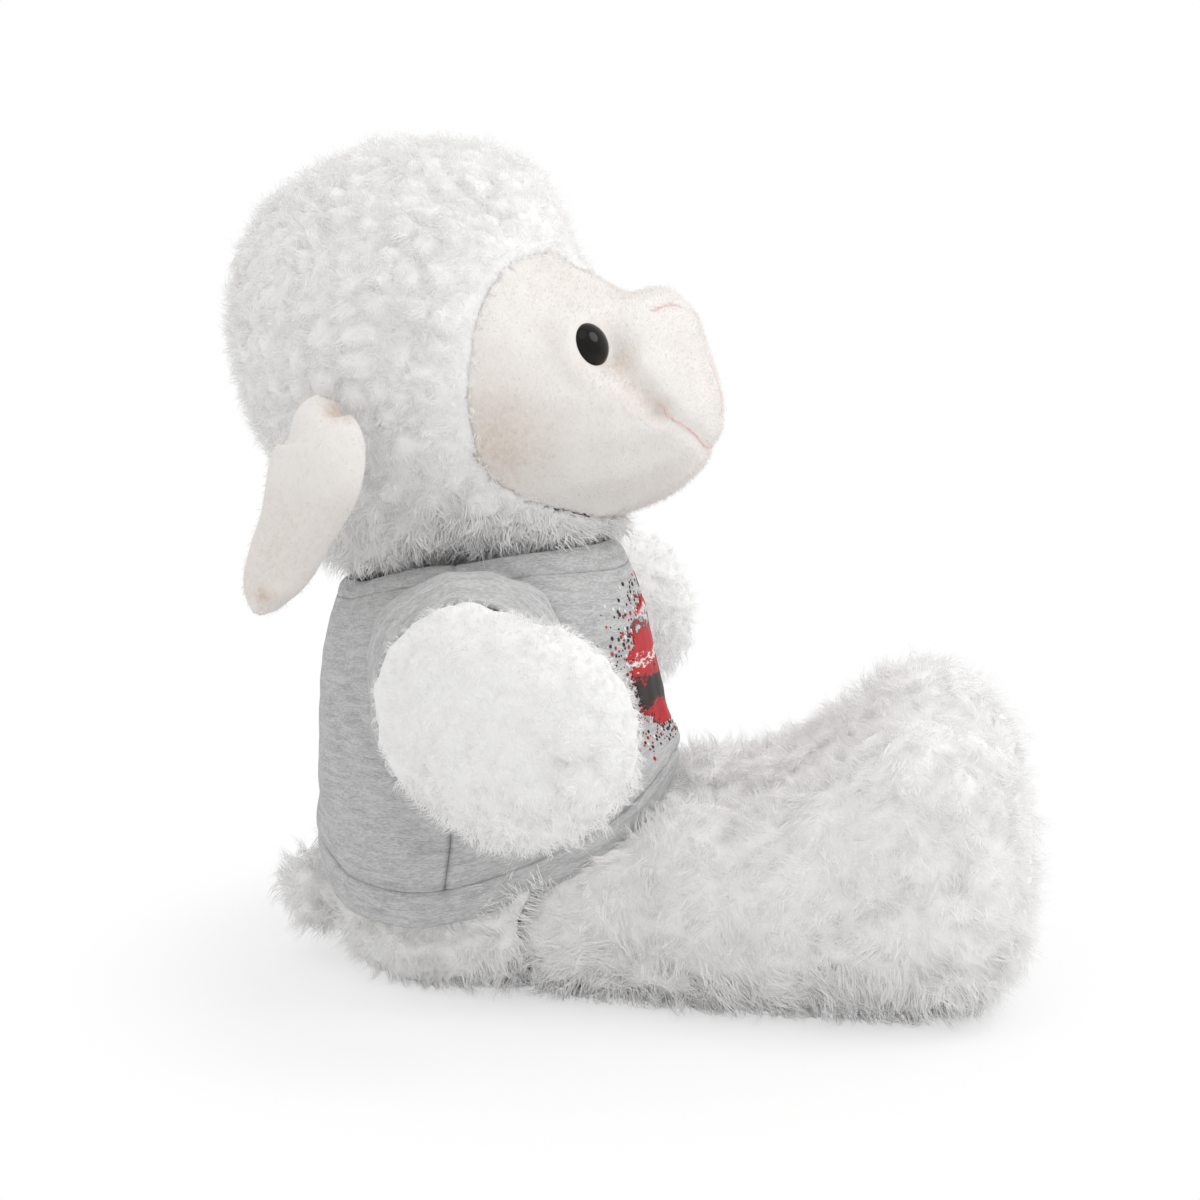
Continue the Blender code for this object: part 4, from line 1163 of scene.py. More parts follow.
def ear_surface(side, v, s):
    """A point of the ear's middle surface, with s from -1 at its back edge to 1 at its front edge."""
    back_step, down, out, half, cup, _ = along_rows(EAR_ROWS, v)
    after, before = min(v + 0.05, len(EAR_ROWS) - 1), max(v - 0.05, 0)
    ahead = along_rows(EAR_ROWS, after) - along_rows(EAR_ROWS, before)
    run = Vector((-ahead[0], 0, -ahead[1])).normalized()
    across = Vector((-run.z, 0, run.x)).normalized()
    place = EAR_ROOT / MM + Vector((-back_step, out, -down)) + across * (half * s)
    place.y -= cup * s * s * (1.0 if s > 0 else 0.2)
    place.y += 0.5 * math.sin(v * 2.1 + s * 2.4) * min(v, 1)
    return Vector((place.x, side * place.y, place.z)) * MM


def make_ear(name, sign):
    """One ear as a closed, lightly filled leaf."""
    leaf = bmesh.new()
    loops = []
    for row in range(EAR_ALONG + 1):
        v = (len(EAR_ROWS) - 1) * row / EAR_ALONG
        thick = along_rows(EAR_ROWS, v)[5] * MM
        loop = []
        for step in range(EAR_ACROSS):
            turn = math.tau * step / EAR_ACROSS
            s, level = math.cos(turn), math.sin(turn)
            full = math.copysign(abs(level) ** 0.8, level)
            loop.append(leaf.verts.new(ear_surface(sign, v, s) + Vector((0, sign * full * thick, 0))))
        loops.append(loop)
    for first, second in zip(loops, loops[1:]):
        for k in range(EAR_ACROSS):
            j = (k + 1) % EAR_ACROSS
            leaf.faces.new((first[k], first[j], second[j], second[k]))
    leaf.faces.new(loops[0])
    leaf.faces.new(loops[-1])
    bmesh.ops.recalc_face_normals(leaf, faces=leaf.faces)
    return object_of(leaf, name)


def ear_painted_shade(place):
    """Painted shade in tan: the fold at the root, the dimple at the tip, and a little on the lower half."""
    root = around(place, (-59.5, 48.0, 136.5), 7 * MM)
    tip = around(place, (-75.5, 51.5, 97.0), 3.6 * MM)
    return bounded(0.9 * root + 0.8 * tip + 0.16 * smooth_step(128 * MM, 112 * MM, place.z))


TOWARDS_THE_TIP = (-0.2, 0.0, -0.9)
for side, sign in SIDES:
    ear = make_ear(f"ear_plush_{side}", sign)
    # painted shade of the ear, which the cream finish mixes in as tan
    store(ear, "painted_shade", [ear_painted_shade(vertex.co) for vertex in ear.data.vertices])
    groom(ear, TOWARDS_THE_TIP, 1.0, 1.0, 14 * MM, 0.0, 0.3)
    grow(
        f"ear_pile_{side}", f"ear_{side}", ear, pile_locks, slot="cream_plush",
        Spacing=0.95 * MM, Lean=0.8, Ruffle=0.45, Finish=cream,
    )
    dress(ear, f"ear_{side}", (f"ear_outer_{side}", f"ear_inner_{side}"), cream)

# %% [markdown]
# ## Limbs, body and tail
# The legs and feet wear the longest fleece, in soft wisps that reach forwards and down. The paws are
# rounder and shorter. On the body only the part below the tee shows, so fleece grows only there.

# %% Shoulders
ARM_TURN = math.radians(12)
SLEEVE_LONG = 21.0 * MM
# the sleeve's end, as degrees round the arm and radius
END_RADII = (
    (0, 23.0), (40, 20.0), (90, 16.2), (135, 16.5), (180, 18.5), (270, 20.5), (318, 23.5), (360, 23.0),
)


def shoulder(sign):
    """The middle of a shoulder and the direction of its arm."""
    return Vector((-36.2, sign * 39, 73.5)) * MM, Vector((math.sin(ARM_TURN), sign * math.cos(ARM_TURN), 0))


def sleeve_radius(ray):
    """The radius of the sleeve's end in a direction across the arm."""
    degrees = math.degrees(math.atan2(-ray.x, ray.z)) % 360
    return np.interp(degrees, *zip(*END_RADII)) * MM


# %% Limbs, body and tail
def leg_flow(place):
    """Wisps reach forwards and down, and back over the fold where the leg meets the body."""
    root = smooth_step(12 * MM, -10 * MM, place.x) if place.x > -22 * MM else 0.0
    return (0.45 - 1.1 * root, 0.0, -0.55)


def arm_fur(place):
    """No fleece inside the sleeve, and a short way of growing at its end."""
    centre, way = shoulder(math.copysign(1, place.y))
    return smooth_step(SLEEVE_LONG - 1.5 * MM, SLEEVE_LONG + 0.5 * MM, (place - centre).dot(way))


def arm_length(place):
    """Short on top of the paw and along the sleeve, in longer tufts below."""
    centre, way = shoulder(math.copysign(1, place.y))
    edge = smooth_step(SLEEVE_LONG + 9 * MM, SLEEVE_LONG, (place - centre).dot(way))
    return (0.72 + 0.45 * smooth_step(80 * MM, 56 * MM, place.z)) * (1 - 0.4 * edge)


PAW_SHIFT, PAW_SWELL = Vector((5.0, 0.0, 1.0)) * MM, 0.07


def squeeze_arm(arm, sign):
    """Keeps the arm inside its sleeve, and fills the paw a little more."""
    centre, way = shoulder(sign)
    for vertex in arm.data.vertices:
        off = vertex.co - centre
        along = off.dot(way)
        share = smooth_step(18 * MM, 38 * MM, along)
        ray = off - way * along
        vertex.co += ray * (PAW_SWELL * share) + PAW_SHIFT * share
        vertex.co.x += 0.07 * max(0.0, -ray.x) * share
        vertex.co.z -= 0.15 * max(0.0, -ray.z) * share
        near = mirrored(vertex.co) - Vector((-5.8, 0, 69.7)) * MM
        crease = fade(abs(near.z), 2.6 * MM) * fade(abs(near.x), 12 * MM)
        vertex.co.y -= sign * 1.6 * MM * (crease * smooth_step(78 * MM, 84 * MM, near.y))
    for vertex in arm.data.vertices:
        off = vertex.co - centre
        along = off.dot(way)
        ray = off - way * along
        if along < SLEEVE_LONG + 9 * MM and ray.length > 2 * MM:
            end = sleeve_radius(ray)
            opening = smooth_step(SLEEVE_LONG - 5 * MM, SLEEVE_LONG - 1 * MM, along)
            inner = end - 2.4 * MM + 1.5 * MM * opening
            inner = inner if along > SLEEVE_LONG - 6 * MM else min(ray.length, inner)
            outer = max(ray.length, end + 0.9 * MM)
            free = smooth_step(SLEEVE_LONG - 1 * MM, SLEEVE_LONG + 2 * MM, along)
            back = smooth_step(SLEEVE_LONG + 9 * MM, SLEEVE_LONG + 4 * MM, along)
            wide = inner + (outer * back + ray.length * (1 - back) - inner) * free
            vertex.co = centre + way * along + ray * (wide / ray.length)
    arm.data.update()


def lift_foot(leg):
    """The foot stands a little taller, its top is round, and the thigh is full."""
    for vertex in leg.data.vertices:
        x, z = vertex.co.x, vertex.co.z
        vertex.co.z += 6.5 * MM * smooth_step(35 * MM, 70 * MM, x) * smooth_step(25 * MM, 60 * MM, z)
        vertex.co.z += 6.0 * MM * fade(abs(x - 12 * MM), 19 * MM) * smooth_step(14 * MM, 36 * MM, z)
        toes, root = smooth_step(60 * MM, 80 * MM, x), smooth_step(4 * MM, -12 * MM, x)
        vertex.co.x += 2.0 * MM * toes - 6.0 * MM * root
    leg.data.update()


HIP, TAIL_ROOT = (-4.2, 25, 18.8), (-71.7, 0, 16.5)


def body_fur(place):
    """Fleece below the tee, but none where the legs and the tail are sewn on."""
    near = mirrored(place)
    clear = (near - Vector(HIP) * MM).length > 9 * MM and (near - Vector(TAIL_ROOT) * MM).length > 7 * MM
    hem = np.interp(place.x, (-75 * MM, -38 * MM, 9 * MM), (33 * MM, 26 * MM, 50 * MM))
    return float(place.z < hem and clear)


def body_length(place):
    """Longer round the legs, where it closes the fold."""
    return 1.0 + 0.6 * around(place, HIP, 36 * MM)


def leg_length(place):
    """Longer wisps low down."""
    return 0.95 + 0.35 * smooth_step(30 * MM, 5 * MM, place.z)


def leg_puff(place):
    """Soft clumps, less high on the thigh."""
    return (0.9 + 0.6 * smooth_step(20 * MM, 60 * MM, place.x)) * MM


DOWN_AND_BACK, FORWARDS_AND_DOWN, DOWN = (-0.1, 0.0, -0.45), (0.4, 0.0, -0.5), (0.0, 0.0, -0.3)
for side, sign in SIDES:
    leg, arm = limb_forms["leg", side], limb_forms["arm", side]
    lift_foot(leg)
    groom(leg, leg_flow, 1.0, leg_length, 12 * MM, leg_puff, 1.0)
    grow(f"leg_fleece_{side}", f"leg_{side}", leg, long_locks, 2, Spacing=2.63 * MM, Lean=1.15, Ruffle=0.4)
    squeeze_arm(arm, sign)
    groom(arm, DOWN_AND_BACK, arm_fur, arm_length, 9 * MM, 1.0 * MM, 0.9)
    grow(f"arm_fleece_{side}", f"arm_{side}", arm, short_locks, 1, Spacing=2.4 * MM, Lean=1.0, Ruffle=0.4)
    for limb, skin in (("leg", leg), ("arm", arm)):
        solids = (f"{limb}_{side}_shell", f"{limb}_{side}_filling")
        dress(skin, f"{limb}_{side}", solids, curls)

groom(tail_form, leg_flow, 1.0, 1.0, 8 * MM, 1.6 * MM, 1.0)
grow("tail_fleece", "tail", tail_form, long_locks, 1, Spacing=2.4 * MM, Lean=0.8, Ruffle=0.5)
dress(tail_form, "tail", ("tail_shell", "tail_filling"), curls)

for vertex in torso_form.data.vertices:
    x, y, z = vertex.co
    low, aside = smooth_step(42 * MM, 26 * MM, z), smooth_step(18 * MM, 36 * MM, abs(y))
    vertex.co.y += math.copysign(7.5 * MM * (fade(abs(x + 17 * MM), 24 * MM) * low * aside), y)
torso_form.data.update()
groom(torso_form, FORWARDS_AND_DOWN, body_fur, body_length, 9 * MM, 1.4 * MM, 1.0)
grow("body_fleece", "torso", torso_form, long_locks, 1, Spacing=2.7 * MM, Lean=1.0, Ruffle=0.4)


def collar_fur(place):
    """Fleece in the neckline of the tee."""
    aside = place - NECK_CENTRE
    aside.z = 0
    return float(place.z > 84 * MM and 13 * MM < aside.length < 27 * MM)


at_collar = [collar_fur(vertex.co) for vertex in torso_form.data.vertices]
torso_form.data.attributes["fur"].data.foreach_set("value", at_collar)
grow("collar_fleece", "torso", torso_form, short_locks, 1, Spacing=2.8 * MM, Lean=0.5, Ruffle=0.6)
dress(torso_form, "torso", ("body_shell", "body_filling", "seat_pouch"), curls)

# %% [markdown]
# ## The neck
# A wad of filling joins the head to the body and lets it turn and nod. Only a narrow belt of it can
# ever show, so short fleece grows on that belt alone.

# %% Neck
def neck_fur(place):
    """Only the belt of the neck that shows between head and body."""
    return float(abs(place.z - NECK_CENTRE.z) < 6 * MM)


neck_form = form("neck_skin", ("neck_wad",), 0.9 * MM, 0.2 * MM, 4)
groom(neck_form, DOWN, neck_fur, 1.0, 6 * MM, 0.0, 0.8)
grow("neck_fleece", "neck", neck_form, short_locks, 1, Spacing=2.4 * MM, Lean=0.5, Ruffle=0.6)
dress(neck_form, "neck", ("neck_wad",), curls)
bpy.data.objects.remove(head_form)

# %% [markdown]
# ## The tee
# The tee is cut from heather grey jersey. A table gives its front, side and back in a few rows from the
# collar to the hem, and a smooth curve runs through them. Folds, the pull of the seams and the sag of
# the cloth are small moves of the surface. The knit follows the cloth through a map in metres.

# %% Knit finish
KNIT_LOOK = {"Roughness": 0.95, "Specular IOR Level": 0.15, "Sheen Weight": 0.15}
KNIT_STOPS = ((0.34, (0.36, 0.36, 0.362)), (0.60, (0.62, 0.62, 0.62)))

knit, tree, shader = finish("grey_knit", KNIT_LOOK)
uv = node(tree, "ShaderNodeUVMap", uv_map="cloth")
fine = node(tree, "ShaderNodeMapping", {"Vector": uv, "Scale": (800.0, 3600.0, 1.0)})
wander = node(tree, "ShaderNodeTexNoise", {"Vector": fine, "Scale": 1.0, "Detail": 3.0, "Distortion": 0.6})
broad = node(tree, "ShaderNodeMapping", {"Vector": uv, "Scale": (150.0, 800.0, 1.0)})
drift = node(tree, "ShaderNodeTexNoise", {"Vector": broad, "Scale": 1.0, "Detail": 3.0, "Distortion": 0.8})
drift_share = maths(tree, "MULTIPLY", drift.outputs["Fac"], 0.4)
both = maths(tree, "MULTIPLY_ADD", wander.outputs["Fac"], 0.6, drift_share)
tree.links.new(colours_along(tree, both, KNIT_STOPS).outputs["Color"], shader.inputs["Base Color"])
loops_x = node(tree, "ShaderNodeMapping", {"Vector": uv, "Scale": (1100.0, 0.0, 0.0)})
wales = node(tree, "ShaderNodeTexWave", {"Vector": loops_x, "Scale": 1.0, "Distortion": 0.6})
bump = node(tree, "ShaderNodeBump", {"Strength": 0.25, "Distance": 0.15 * MM, "Height": wales.outputs["Fac"]})
fluff = node(tree, "ShaderNodeBump", {"Strength": 0.3, "Distance": 0.2 * MM, "Height": wander.outputs["Fac"]})
tree.links.new(bump.outputs[0], fluff.inputs["Normal"])
tree.links.new(fluff.outputs[0], shader.inputs["Normal"])

# %% Tee surface
TEE_ROWS = np.array(
    # front x, z; side x, half width, z; back x, z
    (
        (-4.5, 103.0, -37.2, 28.4, 101.0, -67.1, 93.1),
        (-0.5, 97.0, -37.2, 31.3, 97.0, -69.2, 88.7),
        (2.2, 88.5, -36.7, 37.2, 90.2, -71.1, 81.9),
        (5.3, 75.9, -36.2, 40.1, 76.9, -73.1, 71.8),
        (8.3, 63.8, -36.2, 42.6, 57.8, -73.7, 54.7),
        (10.5, 56.5, -36.2, 44.0, 41.0, -73.9, 42.6),
        (10.6, 52.6, -37.5, 44.4, 29.0, -73.9, 36.0),
        (9.4, 44.8, -38.5, 43.6, 20.5, -73.1, 27.9),
    )
)
NECK_ROW, HEM_ROW, LAST_ROW = 1.0, 6.0, 7.0
HEM_SAG = 4.0 * MM


def tee_point(turn, v):
    """A place on the tee: turn goes round it, a quarter turn is the front, and v goes down its rows."""
    fx, fz, sx, wide, sz, bx, bz = along_rows(TEE_ROWS, v) * MM
    square = smooth_step(3.5, LAST_ROW, v) * max(0.0, math.sin(turn))
    front, last, side = Vector((fx, 0, fz)), Vector((bx, 0, bz)), Vector((sx, 0, sz))
    middle = (front + last) / 2
    bow = (front - last) / 2 * math.sin(turn) + (side - middle) * math.cos(turn) ** 2
    aside = math.copysign(abs(math.cos(turn)) ** (1 - 0.3 * square), math.cos(turn))
    sag = HEM_SAG * square * math.sin(2 * turn) ** 2
    return middle + bow + Vector((0, wide * aside, -sag))


def tee_normal(turn, v):
    """The outward direction there."""
    a = tee_point(turn + 0.01, v) - tee_point(turn - 0.01, v)
    b = tee_point(turn, min(v + 0.02, LAST_ROW)) - tee_point(turn, max(v - 0.02, 0))
    return a.cross(b).normalized()


# the seam of a sleeve, as degrees round the arm and radius
SEAM_RADII = (
    (0, 28.0), (25, 29.5), (46, 29.5), (65, 26.4), (95, 22.5), (227, 22.5), (265, 23.5), (295, 26.5),
    (318, 29.0), (340, 28.5), (360, 28.0),
)
# folds, as a path, how far they stand out and how far they reach
TEE_FOLDS = (
    (((-17.5, 30.0, 101.0), (-14.5, 35.0, 94.0), (-13.0, 37.5, 86.0)), -2.2, 4.0),
    (((-12.0, 28.0, 99.0), (-9.5, 32.5, 92.0), (-9.0, 35.0, 85.0)), 1.3, 4.5),
    (((-24.0, 43.0, 47.0), (-8.0, 40.0, 52.0)), -0.9, 5.0),
    (((-50.0, 40.0, 46.0), (-38.0, 43.0, 38.0)), -0.9, 5.0),
    (((4.0, 20.0, 58.0), (10.0, 6.0, 62.0)), -0.9, 5.0),
    (((-66.0, 25.0, 70.0), (-60.0, 32.0, 52.0)), -0.8, 6.0),
)


def tee_fold(turn, v, place):
    """How far the cloth stands out there: soft folds, and a pull at the seams."""
    move = 0.9 * MM * noise.noise(Vector((place.x, place.y * 0.8, place.z * 0.45)) / (13 * MM))
    move += 0.3 * MM * noise.noise(place / (4.5 * MM))
    near = mirrored(place)
    move -= 0.8 * MM * fade(abs(math.sin(turn)) * 42 * MM, 1.3 * MM)
    if v < HEM_ROW:
        move += 0.7 * MM * smooth_step(4.7, 5.7, v) * (1 - smooth_step(5.85, 6.0, v))
        move -= 0.7 * MM * smooth_step(5.85, 6.0, v)
    for path, depth, reach in TEE_FOLDS:
        move += depth * MM * fade(path_distance(near, path), reach * MM)
    if near.y > 15 * MM:
        centre, way = shoulder(1)
        ray = near - centre
        ray -= way * ray.dot(way)
        degrees = math.degrees(math.atan2(-ray.x, ray.z)) % 360
        seam = np.interp(degrees, *zip(*SEAM_RADII)) * MM
        move -= 1.0 * MM * fade(abs(ray.length - seam), 2.0 * MM)
    return move


def new_sheet():
    """An open mesh for a cloth, with room for its map."""
    sheet = bmesh.new()
    sheet.loops.layers.uv.new("cloth")
    return sheet


def weave(sheet, grid, closed, on_map):
    """Faces between the lines of a grid of points. on_map gives each line and column its place."""
    layer = sheet.loops.layers.uv["cloth"]
    for line, (upper, lower) in enumerate(zip(grid, grid[1:])):
        for column in range(len(upper) if closed else len(upper) - 1):
            following = (column + 1) % len(upper)
            face = sheet.faces.new((upper[column], lower[column], lower[following], upper[following]))
            for loop, (down, over) in zip(face.loops, ((0, 0), (1, 0), (1, 1), (0, 1))):
                loop[layer].uv = on_map(line + down, column + over)


TEE_REACH = 41 * MM


def cloth_grid(name, turns, rows, closed, lift=None):
    """A grid of the tee's surface between two turns and two rows, with its map in metres."""
    (turn_a, turn_b, columns), (row_a, row_b, lines) = turns, rows
    sheet, grid, tall = new_sheet(), [], [0.0]
    for line in range(lines + 1):
        v = row_a + (row_b - row_a) * line / lines
        if line:
            above = row_a + (row_b - row_a) * (line - 1) / lines
            tall.append(tall[-1] + (tee_point(0, v) - tee_point(0, above)).length)
        row = []
        for column in range(columns if closed else columns + 1):
            turn = turn_a + (turn_b - turn_a) * column / columns
            place = tee_point(turn, v)
            out = tee_fold(turn, v, place) + (lift(turn, v) if lift else 0.0)
            row.append(sheet.verts.new(place + tee_normal(turn, v) * out))
        grid.append(row)
    weave(
        sheet, grid, closed,
        lambda line, column: ((turn_a + (turn_b - turn_a) * column / columns) * TEE_REACH, tall[line]),
    )
    return object_of(sheet, name)


def facing_out(piece, middle):
    """Turns the faces so that they point away from a middle line."""
    shell = shell_of(piece)
    total = sum((f.calc_center_median() - middle).dot(f.normal) * f.calc_area() for f in shell.faces)
    if total < 0:
        bmesh.ops.reverse_faces(shell, faces=shell.faces)
    write_back(shell, piece)


# %% [markdown]
# ## Front, back and armholes
# The front and the back meet in the side seams. Where a sleeve is sewn on, the cloth is cut away, so
# that the arm goes through a real hole. The whole tee is kept as a search tree first, because the
# sleeves start on its surface.

# %% Armholes
def in_armhole(place):
    """Whether a place lies inside an armhole."""
    for sign in (-1, 1):
        centre, way = shoulder(sign)
        off = place - centre
        ray = off - way * off.dot(way)
        if place.y * sign > 15 * MM and ray.length < sleeve_radius(ray) - 0.6 * MM:
            return True
    return False


TEE_MIDDLE = Vector((-35 * MM, 0, 60 * MM))
TEE_CLOTH, TEE_BAND = 0.9 * MM, 1.8 * MM
panels = {}
for name, start in (("front", 0.0), ("back", math.pi)):
    panel = cloth_grid(f"tee_{name}_cloth", (start, start + math.pi, 110), (NECK_ROW, HEM_ROW, 66), False)
    facing_out(panel, TEE_MIDDLE)
    panels[name] = panel
whole_tee = BVHTree.FromPolygons(
    [v.co for panel in panels.values() for v in panel.data.vertices],
    [
        [index + shift for index in face.vertices]
        for panel, shift in zip(panels.values(), (0, len(panels["front"].data.vertices)))
        for face in panel.data.polygons
    ],
)
for name, panel in panels.items():
    write_back(cut_out(panel, lambda place: not in_armhole(place)), panel)
    thicken(panel, TEE_CLOTH)
    dress(panel, "torso", (f"tee_{name}",), knit)
    print(panel.name, len(panel.data.polygons), "faces")

# %% [markdown]
# ## Neckband and hem
# Both bands are doubled jersey, so they are thicker than the panels. The neckband rolls, and the folded
# hem stands out a little at its edge. They follow the same surface as the panels, on its first and last
# row.

# %% Neckband and hem
def neckband_lift(turn, v):
    """A rolled band."""
    return -0.1 * MM + 0.6 * MM * math.sin(math.pi * bounded(v))


def hem_lift(turn, v):
    """A folded band that rolls out a little at its edge."""
    share = bounded(v - HEM_ROW)
    crown = math.sin(math.pi * share) ** 0.6 if 0 < share < 1 else 0.0
    uneven = noise.noise(Vector((math.cos(turn), math.sin(turn), share)) * 2)
    return -0.2 * MM + 1.2 * MM * crown + 0.3 * MM * uneven


for name, rows, lift in (
    ("neckband", (0.0, NECK_ROW, 10), neckband_lift),
    ("hem_band", (HEM_ROW, LAST_ROW, 12), hem_lift),
):
    band = cloth_grid(f"{name}_knit", (0.0, math.tau, 220), rows, True, lift)
    facing_out(band, TEE_MIDDLE)
    thicken(band, TEE_BAND)
    dress(band, "torso", (name,), knit)

# %% [markdown]
# ## Sleeves
# A short sleeve runs from its seam on the tee to a folded end round the paw. Between the two it swells
# where the cloth has room, and it is smooth where the arm fills it.

# %% Sleeves
# how far the cloth swells between seam and end, as degrees round the arm and millimetres
SWELLS = (
    (0, 5.0), (40, 4.2), (75, 2.0), (120, 1.0), (240, 1.0), (285, 2.2), (318, 5.2), (340, 5.5), (360, 5.0),
)
SLEEVE_ROUND, SLEEVE_ROWS, SLEEVE_REACH = 120, 30, 25


def make_sleeve(name, sign):
    """A sleeve from its seam on the tee to its folded end."""
    centre, way = shoulder(sign)
    up = Vector((0, 0, 1))
    behind = -(way.cross(up)) * sign
    behind = behind if behind.x < 0 else -behind
    sheet, grid = new_sheet(), []
    for row in range(SLEEVE_ROWS + 1):
        share = row / SLEEVE_ROWS
        line = []
        for step in range(SLEEVE_ROUND):
            degrees = 360 * step / SLEEVE_ROUND
            turn = math.radians(degrees)
            ray = up * math.cos(turn) + behind * math.sin(turn)
            seam = centre + ray * np.interp(degrees, *zip(*SEAM_RADII)) * MM
            seam, normal, _, _ = whole_tee.find_nearest(seam)
            seam = seam + normal * 0.3 * MM
            end = centre + way * SLEEVE_LONG + ray * np.interp(degrees, *zip(*END_RADII)) * MM
            place = seam.lerp(end, share)
            swell = np.interp(degrees, *zip(*SWELLS)) * MM * math.sin(math.pi * share**0.8)
            crease = 1.8 * MM * fade(abs(degrees - 76), 20) * fade(abs(share - 0.42), 0.3)
            ridge = 0.8 * MM * fade(abs(degrees - 300), 12)
            uneven = noise.noise(Vector((math.cos(turn), math.sin(turn), share * 0.8 + sign)) * 2.4)
            folds = 0.8 * MM * uneven
            band = 0.9 * MM * smooth_step(0.56, 0.60, share) - 0.7 * MM * fade(abs(share - 0.55), 0.04)
            tuck = -0.5 * MM * fade(share, 0.05)
            place += ray * ((swell - crease + ridge + folds) * min(1, share * 5) + band + tuck)
            line.append(sheet.verts.new(place))
        grid.append(line)
    weave(
        sheet, grid, True,
        lambda row, step: (
            math.tau * step / SLEEVE_ROUND * SLEEVE_REACH * MM, row / SLEEVE_ROWS * SLEEVE_LONG
        ),
    )
    piece = object_of(sheet, name)
    facing_out(piece, centre + way * SLEEVE_LONG / 2)
    return thicken(piece, TEE_CLOTH)


for side, sign in SIDES:
    sleeve = make_sleeve(f"sleeve_knit_{side}", sign)
    dress(sleeve, stands_for=(f"sleeve_{side}",), material=knit)
    centre, way = shoulder(sign)
    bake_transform(sleeve)

# %% [markdown]
# ## Ink on the chest
# The picture on the chest is screen printed, so it is a thin layer of its own on the jersey. Its design
# is a plain one: torn bands of colour inside a ragged patch. A noise tears the bands, which run across
# the patch's own map.

# %% Chest print
RED, DARK, PALE = (0.50, 0.012, 0.02), (0.02, 0.012, 0.012), (0.80, 0.78, 0.78)
BAND_STOPS = (
    (0.0, RED), (0.27, RED), (0.29, DARK), (0.47, DARK), (0.49, RED), (0.56, RED), (0.57, PALE), (0.60, PALE),
    (0.61, RED), (0.78, RED), (0.80, DARK), (0.86, PALE), (0.90, RED), (1.0, RED),
)
INK_LOOK = {"Roughness": 0.6}

ink, tree, shader = finish("chest_ink", INK_LOOK)
uv = node(tree, "ShaderNodeUVMap", uv_map="cloth")
parts = node(tree, "ShaderNodeSeparateXYZ", {0: uv})
brush = node(tree, "ShaderNodeMapping", {"Vector": uv, "Scale": (7.0, 16.0, 1.0)})
torn = node(tree, "ShaderNodeTexNoise", {"Vector": brush, "Scale": 1.0, "Detail": 6.0, "Roughness": 0.7})
tear = maths(tree, "SUBTRACT", torn.outputs["Fac"], 0.5)
wavy = maths(tree, "MULTIPLY_ADD", tear, 0.45, parts.outputs["Y"])
tree.links.new(colours_along(tree, wavy, BAND_STOPS).outputs["Color"], shader.inputs["Base Color"])

PRINT_TURNS, PRINT_ROWS = (math.radians(62), math.radians(118)), (1.9, 4.6)


PRINT_COUNT, PRINT_CORNERS = 90, 1.6


def make_print():
    """A lozenge of ink on the chest, with a ragged edge."""
    sheet, grid, count = new_sheet(), {}, PRINT_COUNT
    layer = sheet.loops.layers.uv["cloth"]
    for i in range(count + 1):
        for j in range(count + 1):
            a, b = i / count, j / count
            turn = PRINT_TURNS[0] + (PRINT_TURNS[1] - PRINT_TURNS[0]) * a
            v = PRINT_ROWS[0] + (PRINT_ROWS[1] - PRINT_ROWS[0]) * b
            place = tee_point(turn, v)
            lift = tee_fold(turn, v, place) + 0.25 * MM
            grid[i, j] = sheet.verts.new(place + tee_normal(turn, v) * lift), (a, 1 - b)
    for i in range(count):
        for j in range(count):
            a, b = (i + 0.5) / count * 2 - 1, (j + 0.5) / count * 2 - 1
            ragged = 0.22 * noise.noise(Vector((a * 5, b * 9, 4.0)))
            ragged += 0.2 * noise.noise(Vector((a * 19, b * 30, 1.0)))
            if abs(a) ** PRINT_CORNERS + abs(b) ** PRINT_CORNERS + ragged < 0.85:
                corners = [grid[i, j], grid[i, j + 1], grid[i + 1, j + 1], grid[i + 1, j]]
                face = sheet.faces.new([corner[0] for corner in corners])
                for loop, corner in zip(face.loops, corners):
                    loop[layer].uv = corner[1]
    bmesh.ops.delete(sheet, geom=[v for v in sheet.verts if not v.link_faces], context="VERTS")
    piece = object_of(sheet, "chest_ink")
    facing_out(piece, TEE_MIDDLE)
    return thicken(piece, 0.3 * MM)


chest_ink = make_print()
dress(chest_ink, "torso", ("chest_print",), ink)

# %% [markdown]
# Specks of the same inks are spattered round the print. A tree scatters small flat dots on the cloth,
# most of them near the edge of the print, and each dot keeps a random number that picks one of the
# three inks.

# %% Specks of ink
SPECK_STOPS = ((0.0, DARK), (0.45, RED), (0.75, PALE))

spots, tree, shader = finish("ink_specks", INK_LOOK)
tone = node(tree, "ShaderNodeAttribute", attribute_name="tone")
tones = colours_along(tree, tone.outputs["Fac"], SPECK_STOPS)
tones.color_ramp.interpolation = "CONSTANT"
tree.links.new(tones.outputs["Color"], shader.inputs["Base Color"])


